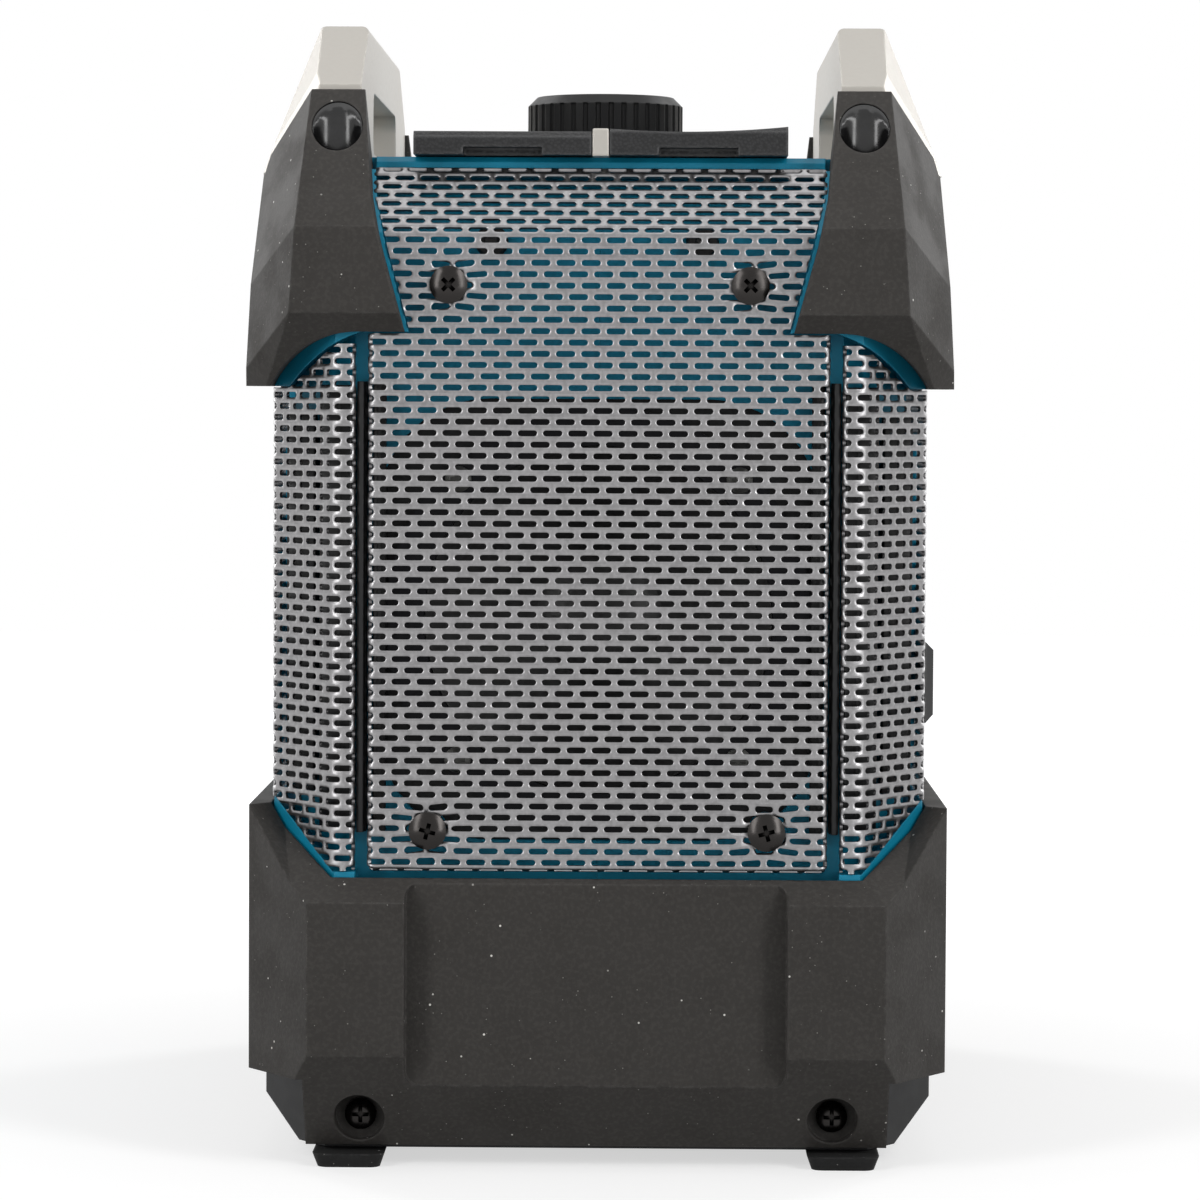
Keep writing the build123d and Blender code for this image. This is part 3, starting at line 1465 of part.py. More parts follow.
# ---------------------------------------------------------------- display
with BuildPart() as display_housing:
    with Locations((-slab_x, slab_y, deck_top)):
        Box(slab_width, slab_length, slab_top - deck_top, align=LOW)
    chamfer(display_housing.faces().sort_by(Axis.Z)[-1].edges(), slab_chamfer)
    with Locations((-slab_x, display_y, deck_top)):
        Box(display_width, display_length, 3 * slab_thickness, mode=Mode.SUBTRACT)
    with Locations((-slab_x, display_y, slab_top - window_thickness - slide_gap)):
        Box(
            display_width + 2 * well_wall,
            display_length + 2 * well_wall,
            slab_thickness,
            align=LOW,
            mode=Mode.SUBTRACT,
        )
save(display_housing, "display_housing")

with BuildPart() as display_window:
    with Locations((-slab_x, display_y, slab_top - window_thickness - slide_gap)):
        Box(
            display_width + 2 * well_wall - 2 * seat_gap,
            display_length + 2 * well_wall - 2 * seat_gap,
            window_thickness,
            align=LOW,
        )
save(display_window, "display_window")

module_top = slab_top - window_thickness - 2 * slide_gap
with BuildPart() as display_module:
    with Locations((-slab_x, display_y, board_top)):
        Box(
            display_width - 2 * slide_gap,
            display_length - 2 * slide_gap,
            module_top - board_top,
            align=LOW,
        )
save(display_module, "display_module")

# ---------------------------------------------------------------- keypad
skin_bottom = slab_top - keypad_skin
with BuildPart() as keypad_bezel:
    with Locations((slab_x, slab_y, deck_top)):
        Box(slab_width, slab_length, slab_top - deck_top, align=LOW)
    chamfer(keypad_bezel.faces().sort_by(Axis.Z)[-1].edges(), slab_chamfer)
    with Locations((slab_x, key_y, deck_top)):
        Box(
            key_pitch_x + key_width + 2 * key_flange + 1,
            2 * key_pitch_y + key_length + 2 * key_flange + 1,
            skin_bottom - deck_top,
            align=LOW,
            mode=Mode.SUBTRACT,
        )
    with BuildSketch(Plane.XY.offset(deck_top)):
        with Locations((slab_x, key_y)):
            with GridLocations(key_pitch_x, key_pitch_y, 2, 3):
                RectangleRounded(
                    key_width + 2 * slide_gap,
                    key_length + 2 * slide_gap,
                    key_corner + slide_gap,
                )
    extrude(amount=2 * slab_thickness, mode=Mode.SUBTRACT)
save(keypad_bezel, "keypad_bezel")

key_names = [
    "preset_button_1",
    "preset_button_2",
    "tune_down_button",
    "tune_up_button",
    "band_button",
    "power_button",
]
key_places = [
    (slab_x + column * key_pitch_x / 2, key_y + row * key_pitch_y)
    for row in (-1, 0, 1)
    for column in (-1, 1)
]
flange_top = skin_bottom - seat_gap
switch_top = board_top + switch_height
for key_name, (key_x, key_place_y) in zip(key_names, key_places):
    with BuildPart() as key:
        with BuildSketch(Plane.XY.offset(flange_top)):
            with Locations((key_x, key_place_y)):
                RectangleRounded(key_width, key_length, key_corner)
        extrude(amount=slab_top + key_proud - flange_top)
        fillet(key.faces().sort_by(Axis.Z)[-1].edges(), key_round)
        with BuildSketch(Plane.XY.offset(flange_top)):
            with Locations((key_x, key_place_y)):
                RectangleRounded(key_width + 2 * key_flange, key_length + 2 * key_flange, key_corner)
        extrude(amount=-key_flange_thickness)
        with Locations((key_x, key_place_y, switch_top + slide_gap)):
            Cylinder(
                switch_stem_radius,
                flange_top - switch_top - slide_gap,
                align=LOW,
            )
    save(key, key_name)

with BuildPart() as key_switches:
    for key_x, key_place_y in key_places:
        with Locations((key_x, key_place_y, board_top)):
            Box(switch_size, switch_size, switch_height - key_travel, align=LOW)
save(key_switches, "key_switches")

with BuildPart() as control_board:
    with BuildSketch(Plane.XY.offset(board_top)):
        with Locations((0, (control_board_start + control_board_end) / 2)):
            Rectangle(2 * control_board_half_width, control_board_end - control_board_start)
        with Locations(*control_posts):
            Circle(thread_bore, mode=Mode.SUBTRACT)
    extrude(amount=-board_thickness)
save(control_board, "control_board")

# ---------------------------------------------------------------- encoder and knob
neck_top = board_top + encoder_height + encoder_neck_height
shaft_bottom = board_top + encoder_floor
with BuildPart() as encoder_body:
    with Locations((0, 0, board_top)):
        Box(encoder_size, encoder_size, encoder_height, align=LOW)
        Cylinder(encoder_neck_radius, encoder_height + encoder_neck_height, align=LOW)
    with Locations((0, 0, shaft_bottom - knob_press - seat_gap)):
        Cylinder(shaft_radius + pin_clearance, overall_height, align=LOW, mode=Mode.SUBTRACT)
save(encoder_body, "encoder_body")

knob_bottom = deck_top + knob_gap
knob_top = knob_bottom + knob_height
shaft_top = knob_top - knob_crown
with BuildPart() as encoder_shaft:
    with Locations((0, 0, shaft_bottom)):
        Cylinder(shaft_radius, shaft_top - shaft_bottom, align=LOW)
        Cylinder(plunger_radius + pin_clearance, 2 * (plunger_length + seat_gap), mode=Mode.SUBTRACT)
save(encoder_shaft, "encoder_shaft")

with BuildPart() as encoder_plunger:
    with Locations((0, 0, shaft_bottom)):
        Cylinder(plunger_radius, plunger_length, align=LOW)
save(encoder_plunger, "encoder_plunger")

with BuildPart() as volume_knob:
    with Locations((0, 0, knob_bottom)):
        Cylinder(knob_radius, knob_height, align=LOW)
    chamfer(volume_knob.edges().filter_by(GeomType.CIRCLE).sort_by(Axis.Z)[-1], knob_chamfer)
    # grip grooves round the side
    with Locations((0, 0, knob_bottom)):
        with PolarLocations(knob_radius, knob_ribs):
            Cylinder(knob_rib_radius, knob_height - knob_chamfer, align=LOW, mode=Mode.SUBTRACT)
    with Locations((0, 0, knob_bottom)):
        Cylinder(
            encoder_neck_radius + knob_cavity_gap,
            neck_top - knob_bottom + 2 * knob_press,
            align=LOW,
            mode=Mode.SUBTRACT,
        )
    with Locations((0, 0, shaft_top)):
        Cylinder(shaft_radius, knob_height, align=HIGH, mode=Mode.SUBTRACT)
save(volume_knob, "volume_knob")

# ---------------------------------------------------------------- battery side
bay_bottom = shell_bottom + bay_low
bay_top = shell_bottom + bay_high
bay_front = -cavity_half_width + seat_gap
bay_back = bay_front + bay_depth - bay_wall
with BuildPart() as battery_bay:
    with Locations((bay_front, 0, bay_bottom)):
        Box(
            bay_depth,
            2 * bay_half_width,
            bay_top - bay_bottom,
            align=(Align.MIN, Align.CENTER, Align.MIN),
        )
    with Locations((bay_front, 0, bay_bottom + bay_wall)):
        Box(
            2 * (bay_depth - bay_wall),
            2 * (bay_half_width - bay_wall),
            bay_top - bay_bottom - 2 * bay_wall,
            align=LOW,
            mode=Mode.SUBTRACT,
        )
    # rails on both sides of the pack
    rail_width = bay_half_width - bay_wall - pack_width / 2 - slide_gap
    with Locations((bay_back - rail_depth / 2, 0, bay_bottom + bay_wall)):
        with GridLocations(1, pack_width + 2 * slide_gap + rail_width, 1, 2):
            Box(rail_depth, rail_width, bay_top - bay_bottom - 2 * bay_wall, align=LOW)
save(battery_bay, "battery_bay")

pack_bottom = bay_bottom + bay_wall + slide_gap
pack_back = bay_back - terminal_depth - slide_gap
with BuildPart() as battery_pack:
    with Locations((pack_back, 0, pack_bottom)):
        Box(pack_depth, pack_width, pack_height, align=(Align.MAX, Align.CENTER, Align.MIN))
    fillet(battery_pack.edges().filter_by(Axis.Z), pack_round)
    with Locations((pack_back, 0, pack_bottom)):
        with GridLocations(1, contact_spacing, 1, 2):
            Box(
                2 * (contact_reach + contact_room),
                contact_thickness + contact_room,
                2 * (contact_bottom + contact_height + contact_room),
                mode=Mode.SUBTRACT,
            )
save(battery_pack, "battery_pack")

BACKED = (Align.MAX, Align.CENTER, Align.MIN)
with BuildPart() as terminal_block:
    with Locations((bay_back - seat_gap, 0, pack_bottom)):
        Box(terminal_depth - seat_gap, terminal_width, terminal_height, align=BACKED)
    # contact blades
    with Locations((bay_back - terminal_depth, 0, pack_bottom + contact_bottom)):
        with GridLocations(1, contact_spacing, 1, 2):
            Box(contact_reach, contact_thickness, contact_height, align=BACKED)
save(terminal_block, "terminal_block")

door_bottom_z = shell_bottom + door_low
door_top_z = shell_bottom + door_high
opening_top_z = bay_top - bay_wall
latch_z = opening_top_z - slide_gap - latch_height / 2
latch_back = door_outer - latch_proud + latch_thickness
tongue_z = opening_top_z - slide_gap - latch_tongue_height
with BuildPart() as battery_door:
    with BuildSketch(Plane.XZ):
        with BuildLine():
            side = Polyline(
                (door_outer, door_hinge_z),
                (door_outer, door_top_z),
                (door_inner, door_top_z),
                (door_inner, door_hinge_z),
            )
            ThreePointArc(side @ 1, (door_hinge_x, door_bottom_z), side @ 0)
        make_face()
    extrude(amount=door_half_width, both=True)
    for side_y in (-1, 1):
        with Locations((door_hinge_x, side_y * door_lug_offset, door_hinge_z)):
            Box(
                2 * door_thickness,
                door_lug_width + 2 * slide_gap,
                door_thickness + 2 * slide_gap,
                mode=Mode.SUBTRACT,
            )
    with Locations(Plane(origin=(door_hinge_x, 0, door_hinge_z), z_dir=(0, 1, 0))):
        Cylinder(pin_radius + pin_clearance, 2 * door_half_width + 1, mode=Mode.SUBTRACT)
    # pocket that the latch slides in, open to the outside
    with Locations((door_outer, 0, latch_z + latch_height / 2 + slide_gap)):
        Box(
            2 * (latch_thickness - latch_proud + slide_gap),
            latch_width + 2 * slide_gap,
            latch_height + latch_travel + 3 * slide_gap,
            align=HIGH,
            mode=Mode.SUBTRACT,
        )
    # slot for the tongue of the latch
    with Locations((door_outer, 0, tongue_z + latch_tongue_height + slide_gap)):
        Box(
            4 * door_thickness,
            latch_tongue_width + 2 * slide_gap,
            latch_tongue_height + latch_travel + 2 * slide_gap,
            align=HIGH,
            mode=Mode.SUBTRACT,
        )
save(battery_door, "battery_door")

with BuildPart() as battery_latch:
    with Locations((door_outer - latch_proud, 0, latch_z)):
        Box(latch_thickness, latch_width, latch_height, align=(Align.MIN, Align.CENTER, Align.CENTER))
    with Locations((latch_back, 0, tongue_z)):
        Box(
            -cavity_half_width - latch_tongue_end - latch_back,
            latch_tongue_width,
            latch_tongue_height,
            align=(Align.MIN, Align.CENTER, Align.MIN),
        )
    # finger ridges
    latch_face = Plane(origin=(door_outer - latch_proud, 0, latch_z), x_dir=(0, 1, 0), z_dir=(-1, 0, 0))
    with BuildSketch(latch_face):
        with GridLocations(1, latch_ridge_pitch, 1, 4):
            Rectangle(latch_width - 2 * latch_ridge_margin, latch_ridge)
    extrude(amount=latch_ridge)
save(battery_latch, "battery_latch")

# ---------------------------------------------------------------- electronics inside the shells
with BuildPart() as amplifier_board:
    with BuildSketch(Plane.XY.offset(amplifier_z)):
        Rectangle(amplifier_width, amplifier_length)
        with GridLocations(amplifier_hole_x, amplifier_hole_y, 2, 2):
            Circle(thread_bore, mode=Mode.SUBTRACT)
    extrude(amount=board_thickness)
save(amplifier_board, "amplifier_board")

with BuildPart() as heat_sink:
    with Locations((0, 0, amplifier_z + board_thickness)):
        Box(heat_sink_depth, heat_sink_size, heat_sink_base, align=LOW)
    with Locations((0, 0, amplifier_z + board_thickness + heat_sink_base)):
        with GridLocations(1, (heat_sink_size - fin_thickness) / (fin_count - 1), 1, fin_count):
            Box(heat_sink_depth, fin_thickness, fin_height, align=LOW)
save(heat_sink, "heat_sink")

with BuildPart() as ferrite_aerial:
    with Locations(Plane(origin=(aerial_x, 0, shell_bottom + aerial_z), z_dir=(0, 1, 0))):
        Cylinder(aerial_radius, aerial_length)
save(ferrite_aerial, "ferrite_aerial")
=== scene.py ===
import math

import bmesh
import bpy
import numpy as np
from mathutils import Matrix, Vector


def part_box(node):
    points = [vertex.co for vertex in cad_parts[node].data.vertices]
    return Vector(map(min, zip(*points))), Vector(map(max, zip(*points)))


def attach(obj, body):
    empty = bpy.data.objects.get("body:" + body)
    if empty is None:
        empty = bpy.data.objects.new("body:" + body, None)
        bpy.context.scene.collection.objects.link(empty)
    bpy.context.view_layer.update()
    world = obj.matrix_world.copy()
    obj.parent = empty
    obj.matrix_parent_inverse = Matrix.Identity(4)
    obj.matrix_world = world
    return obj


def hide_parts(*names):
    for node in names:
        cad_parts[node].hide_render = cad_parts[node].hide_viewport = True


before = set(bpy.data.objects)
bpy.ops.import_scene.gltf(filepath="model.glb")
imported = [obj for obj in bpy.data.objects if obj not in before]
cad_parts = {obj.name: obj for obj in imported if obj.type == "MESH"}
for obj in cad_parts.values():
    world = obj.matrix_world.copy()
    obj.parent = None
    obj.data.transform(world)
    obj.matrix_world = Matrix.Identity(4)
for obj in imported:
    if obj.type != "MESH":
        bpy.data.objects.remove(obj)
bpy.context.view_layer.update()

# Lengths below are in millimetres, and MM turns them into Blender's metres.
MM = 0.001


def extent(node):
    """Lowest and highest corner of a CAD node, in millimetres."""
    low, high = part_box(node)
    return low / MM, high / MM


# ---------------------------------------------------------------- camera
camera_place = Vector((13.8, -1275.1, 207.8)) * MM
camera_down = math.radians(2.73)
camera_turn = math.radians(0.66)
camera_roll = math.radians(0.29)
camera_lens = 130.7

camera_data = bpy.data.cameras.new("camera")
camera_data.lens = camera_lens
camera_data.sensor_width = 36.0
camera_data.clip_start = 0.05
camera = bpy.data.objects.new("camera", camera_data)
bpy.context.scene.collection.objects.link(camera)
camera.matrix_world = (
    Matrix.Translation(camera_place)
    @ Matrix.Rotation(camera_turn, 4, "Z")
    @ Matrix.Rotation(math.pi / 2 - camera_down, 4, "X")
    @ Matrix.Rotation(camera_roll, 4, "Z")
)
bpy.context.scene.camera = camera


# ---------------------------------------------------------------- studio
def node_of(tree, kind, **settings):
    """A new shader node with its settings and input values."""
    made = tree.nodes.new(kind)
    for name, value in settings.items():
        if hasattr(made, name):
            setattr(made, name, value)
        else:
            made.inputs[name.replace("_", " ")].default_value = value
    return made


def open_to_view(tree):
    """1 for the rays that see or mirror the background, 0 for the rays that light the object."""
    path = node_of(tree, "ShaderNodeLightPath")
    seen = node_of(tree, "ShaderNodeMath", operation="MAXIMUM")
    tree.links.new(path.outputs["Is Camera Ray"], seen.inputs[0])
    tree.links.new(path.outputs["Is Glossy Ray"], seen.inputs[1])
    either = node_of(tree, "ShaderNodeMath", operation="MAXIMUM")
    tree.links.new(seen.outputs[0], either.inputs[0])
    tree.links.new(path.outputs["Is Transmission Ray"], either.inputs[1])
    return either.outputs[0]


def make_world(ambient):
    world = bpy.data.worlds.new("studio")
    world.use_nodes = True
    tree = world.node_tree
    tree.nodes.clear()
    light = node_of(tree, "ShaderNodeBackground", Color=(1, 1, 1, 1), Strength=ambient)
    backdrop = node_of(tree, "ShaderNodeBackground", Color=(1, 1, 1, 1), Strength=1.0)
    pick = node_of(tree, "ShaderNodeMixShader")
    output = node_of(tree, "ShaderNodeOutputWorld")
    tree.links.new(open_to_view(tree), pick.inputs["Fac"])
    tree.links.new(light.outputs[0], pick.inputs[1])
    tree.links.new(backdrop.outputs[0], pick.inputs[2])
    tree.links.new(pick.outputs[0], output.inputs["Surface"])
    bpy.context.scene.world = world


def add_softbox(name, place, target, width, height, power):
    """Rectangular lamp that faces its target; places are in metres."""
    data = bpy.data.lights.new(name, "AREA")
    data.shape = "RECTANGLE"
    data.size = width
    data.size_y = height
    data.energy = power
    lamp = bpy.data.objects.new(name, data)
    lamp.location = place
    lamp.rotation_euler = (Vector(target) - Vector(place)).to_track_quat("-Z", "Y").to_euler()
    bpy.context.scene.collection.objects.link(lamp)


floor_radius = 2.5
floor_sides = 64
floor_glow = {"From Min": 0.15, "From Max": 0.9, "To Min": 0.6, "To Max": 1.0}


def make_floor():
    """Pale round floor. Its glow grows outward, so that it is seen as white beyond the object's shadow."""
    mesh = bpy.data.meshes.new("floor")
    corners = []
    for step in range(floor_sides):
        angle = math.tau * step / floor_sides
        corners.append((floor_radius * math.cos(angle), floor_radius * math.sin(angle), 0))
    mesh.from_pydata(corners, [], [tuple(range(floor_sides))])
    floor = bpy.data.objects.new("floor", mesh)
    bpy.context.scene.collection.objects.link(floor)
    material = bpy.data.materials.new("floor")
    material.use_nodes = True
    tree = material.node_tree
    tree.nodes.clear()
    place = node_of(tree, "ShaderNodeTexCoord")
    reach = node_of(tree, "ShaderNodeVectorMath", operation="LENGTH")
    tree.links.new(place.outputs["Object"], reach.inputs[0])
    outward = node_of(tree, "ShaderNodeMapRange", interpolation_type="SMOOTHSTEP")
    tree.links.new(reach.outputs["Value"], outward.inputs["Value"])
    for limit, value in floor_glow.items():
        outward.inputs[limit].default_value = value
    matt = node_of(tree, "ShaderNodeBsdfDiffuse", Color=(0.45, 0.45, 0.45, 1))
    glow = node_of(tree, "ShaderNodeEmission", Color=(1, 1, 1, 1))
    tree.links.new(outward.outputs["Result"], glow.inputs["Strength"])
    both = node_of(tree, "ShaderNodeAddShader")
    pick = node_of(tree, "ShaderNodeMixShader")
    output = node_of(tree, "ShaderNodeOutputMaterial")
    tree.links.new(matt.outputs[0], both.inputs[0])
    tree.links.new(glow.outputs[0], both.inputs[1])
    tree.links.new(open_to_view(tree), pick.inputs["Fac"])
    tree.links.new(matt.outputs[0], pick.inputs[1])
    tree.links.new(both.outputs[0], pick.inputs[2])
    tree.links.new(pick.outputs[0], output.inputs["Surface"])
    mesh.materials.append(material)


bpy.context.scene.view_settings.view_transform = "Standard"
make_world(0.22)
make_floor()
middle = (0, 0, 0.15)
strip_width = 0.32
strip_height = 1.7
strip_lift = 0.75
strips = {
    "left_strip": (-1.0, -1.0, 11.5),
    "right_strip": (1.0, -1.0, 13.5),
    "rear_left_strip": (-1.0, 1.0, 9.0),
    "rear_right_strip": (1.0, 1.0, 9.0),
}
for strip, (strip_x, strip_y, strip_power) in strips.items():
    add_softbox(strip, (strip_x, strip_y, strip_lift), middle, strip_width, strip_height, strip_power)
add_softbox("top_softbox", (0.0, -0.1, 1.6), middle, 1.2, 1.0, 4.5)


# ---------------------------------------------------------------- finishes
def linear(red, green, blue):
    """A colour written in display values from 0 to 255, as the linear colour that a shader takes."""
    def one(value):
        value = value / 255
        return value / 12.92 if value <= 0.04045 else ((value + 0.055) / 1.055) ** 2.4

    return (one(red), one(green), one(blue), 1.0)


def scaled(colour, factor, lift=0.0):
    """A linear colour made lighter or darker by a factor, and lifted."""
    return tuple(min(1.0, channel * factor + lift) for channel in colour[:3]) + (1.0,)


class Finish:
    """A procedural material: a Principled shader whose colour, roughness and relief are built up."""

    def __init__(self, name, colour, roughness, **sockets):
        self.material = bpy.data.materials.new(name)
        self.material.use_nodes = True
        self.tree = self.material.node_tree
        self.shader = self.tree.nodes["Principled BSDF"]
        self.colour = colour
        self.roughness = roughness
        self.shader.inputs["Base Color"].default_value = colour
        self.shader.inputs["Roughness"].default_value = roughness
        for socket, value in sockets.items():
            self.shader.inputs[socket.replace("_", " ")].default_value = value
        self.place = node_of(self.tree, "ShaderNodeTexCoord").outputs["Object"]
        self.normal = None
        self.edge_mask = None

    def link(self, source, target):
        self.tree.links.new(source, target)

    def rounded(self, radius):
        """Rounds the look of the edges, by a radius in millimetres, and keeps a mask of them."""
        soft = node_of(self.tree, "ShaderNodeBevel", samples=4)
        soft.inputs["Radius"].default_value = radius * MM
        flat = node_of(self.tree, "ShaderNodeNewGeometry")
        match = node_of(self.tree, "ShaderNodeVectorMath", operation="DOT_PRODUCT")
        self.link(soft.outputs["Normal"], match.inputs[0])
        self.link(flat.outputs["Normal"], match.inputs[1])
        self.edge_mask = self.between(match.outputs["Value"], 0.995, 0.93)
        self.normal = soft.outputs["Normal"]
        self.link(self.normal, self.shader.inputs["Normal"])

    def stretched(self, stretch):
        """Coordinates stretched along the axes."""
        mapping = node_of(self.tree, "ShaderNodeMapping", Scale=stretch)
        self.link(self.place, mapping.inputs["Vector"])
        return mapping.outputs["Vector"]

    def noise(self, size, detail=2.0, stretch=(1, 1, 1)):
        """Noise with features of about the given size in millimetres."""
        made = node_of(self.tree, "ShaderNodeTexNoise", Scale=1 / (size * MM), Detail=detail)
        self.link(self.stretched(stretch), made.inputs["Vector"])
        return made.outputs["Fac"]

    def cells(self, size):
        """Distance to the nearest of many scattered points, in cells of about the given size."""
        made = node_of(self.tree, "ShaderNodeTexVoronoi", Scale=1 / (size * MM))
        self.link(self.place, made.inputs["Vector"])
        return made.outputs["Distance"]

    def between(self, value, start, end):
        """0 below start, 1 above end, and smooth between them."""
        made = node_of(self.tree, "ShaderNodeMapRange", interpolation_type="SMOOTHSTEP")
        self.link(value, made.inputs["Value"])
        made.inputs["From Min"].default_value = start
        made.inputs["From Max"].default_value = end
        return made.outputs["Result"]

    def product(self, first, second):
        made = node_of(self.tree, "ShaderNodeMath", operation="MULTIPLY")
        self.link(first, made.inputs[0])
        self.link(second, made.inputs[1])
        return made.outputs[0]

    def tint(self, mask, colour):
        """Lays another colour over the base colour where the mask is 1."""
        made = node_of(self.tree, "ShaderNodeMix", data_type="RGBA")
        self.link(mask, made.inputs["Factor"])
        if isinstance(self.colour, tuple):
            made.inputs[6].default_value = self.colour
        else:
            self.link(self.colour, made.inputs[6])
        made.inputs[7].default_value = colour
        self.colour = made.outputs[2]
        self.link(self.colour, self.shader.inputs["Base Color"])

    def polish(self, mask, roughness):
        """Changes the roughness to another value where the mask is 1."""
        made = node_of(self.tree, "ShaderNodeMix", data_type="FLOAT")
        self.link(mask, made.inputs["Factor"])
        if isinstance(self.roughness, float):
            made.inputs[2].default_value = self.roughness
        else:
            self.link(self.roughness, made.inputs[2])
        made.inputs[3].default_value = roughness
        self.roughness = made.outputs[0]
        self.link(self.roughness, self.shader.inputs["Roughness"])

    def recess_shade(self, reach):
        """Mask for painted shade in recesses: 1 in recesses narrower than about twice the reach in
        millimetres, 0 on open faces.
        """
        made = node_of(self.tree, "ShaderNodeAmbientOcclusion", samples=8)
        made.inputs["Distance"].default_value = reach * MM
        return self.between(made.outputs["AO"], 0.85, 0.5)

    def relief(self, height, depth):
        """Bump with a depth in millimetres."""
        made = node_of(self.tree, "ShaderNodeBump", Strength=1.0, Distance=depth * MM)
        self.link(height, made.inputs["Height"])
        if self.normal is not None:
            self.link(self.normal, made.inputs["Normal"])
        self.normal = made.outputs["Normal"]
        self.link(self.normal, self.shader.inputs["Normal"])


def moulded(name, colour, roughness, grain=0.35, depth=0.02, edge=0.5, **sockets):
    """Moulded plastic with a fine spark-eroded grain, a little unevenness in colour and rubbed edges."""
    made = Finish(name, colour, roughness, **sockets)
    made.rounded(edge)
    made.tint(made.between(made.noise(18.0, 3.0), 0.4, 0.7), scaled(colour, 1.16))
    rubbed = made.product(made.edge_mask, made.between(made.noise(5.0, 3.0), 0.3, 0.7))
    made.tint(rubbed, scaled(colour, 1.3, 0.008))
    made.relief(made.noise(grain, 3.0), depth)
    made.polish(made.between(made.noise(6.0, 3.0), 0.35, 0.7), min(1.0, roughness + 0.08))
    return made


def rubber(name, colour, roughness):
    """Thermoplastic rubber: matt, fine grained, with dust caught in the grain and along the edges."""
    made = Finish(name, colour, roughness, Specular_IOR_Level=0.2)
    made.rounded(0.9)
    made.tint(made.between(made.noise(1.2, 4.0), 0.42, 0.68), scaled(colour, 1.3))
    dusty = made.product(made.edge_mask, made.between(made.noise(2.5, 3.0), 0.3, 0.75))
    made.tint(dusty, scaled(colour, 1.9, 0.02))
    fine = made.between(made.cells(2.2), 0.09, 0.05)
    made.tint(made.product(fine, made.between(made.noise(14.0, 3.0), 0.46, 0.58)), linear(128, 126, 122))
    specks = made.between(made.cells(4.6), 0.075, 0.05)
    made.tint(made.product(specks, made.between(made.noise(8.0, 2.0), 0.46, 0.58)), linear(214, 212, 206))
    made.relief(made.noise(0.7, 4.0), 0.06)
    made.polish(made.between(made.noise(14.0, 3.0), 0.4, 0.7), roughness + 0.12)
    return made


def metal(name, colour, roughness, grain, depth, stretch=(1, 1, 1)):
    """Bare metal with fine drawn or ground marks."""
    made = Finish(name, colour, roughness, Metallic=1.0)
    made.relief(made.noise(grain, 3.0, stretch), depth)
    made.polish(made.between(made.noise(8.0, 3.0), 0.4, 0.7), roughness + 0.1)
    return made


def painted_metal(name, colour, roughness, **sockets):
    """Even metallic paint with a fine grain and edges that are a little worn."""
    made = Finish(name, colour, roughness, **sockets)
    made.rounded(0.8)
    worn = made.product(made.edge_mask, made.between(made.noise(5.0, 3.0), 0.3, 0.7))
    made.tint(worn, scaled(colour, 1.25))
    made.relief(made.noise(0.5, 3.0), 0.014)
    made.polish(made.between(made.noise(1.5, 3.0), 0.35, 0.7), roughness + 0.06)
    return made


def screw_metal(name, colour, roughness):
    """Blackened metal, with painted shade that darkens its recesses."""
    made = metal(name, colour, roughness, 0.8, 0.004)
    recess_shade = made.recess_shade(1.6)
    # painted shade: recesses such as the screw cross are tinted near-black, where shade falls
    made.tint(recess_shade, linear(6, 6, 6))
    made.polish(recess_shade, 0.7)
    return made


def sheet_steel(name, colour, roughness):
    """Zinc-plated sheet: a soft grey sheen with a fine mottle."""
    made = metal(name, colour, roughness, 0.9, 0.012)
    made.tint(made.between(made.noise(0.8, 4.0), 0.45, 0.75), scaled(colour, 1.14))
    made.tint(made.between(made.noise(1.7, 4.0), 0.55, 0.3), scaled(colour, 0.86))
    return made


def pebbled(name, colour, roughness):
    """Coarse pebbled plastic, with painted highlights on the pebble tops for a little sparkle."""
    made = Finish(name, colour, roughness, Specular_IOR_Level=0.3)
    made.rounded(1.2)
    pebbles = made.cells(0.8)
    # painted highlight: the raised tops of the pebbles are tinted lighter
    made.tint(made.between(pebbles, 0.62, 0.3), scaled(colour, 1.7, 0.004))
    made.tint(made.edge_mask, scaled(colour, 2.2, 0.07))
    made.relief(pebbles, -0.16)
    made.relief(made.noise(0.5, 3.0), 0.05)
    made.polish(made.between(made.noise(1.5, 3.0), 0.4, 0.65), roughness - 0.14)
    return made


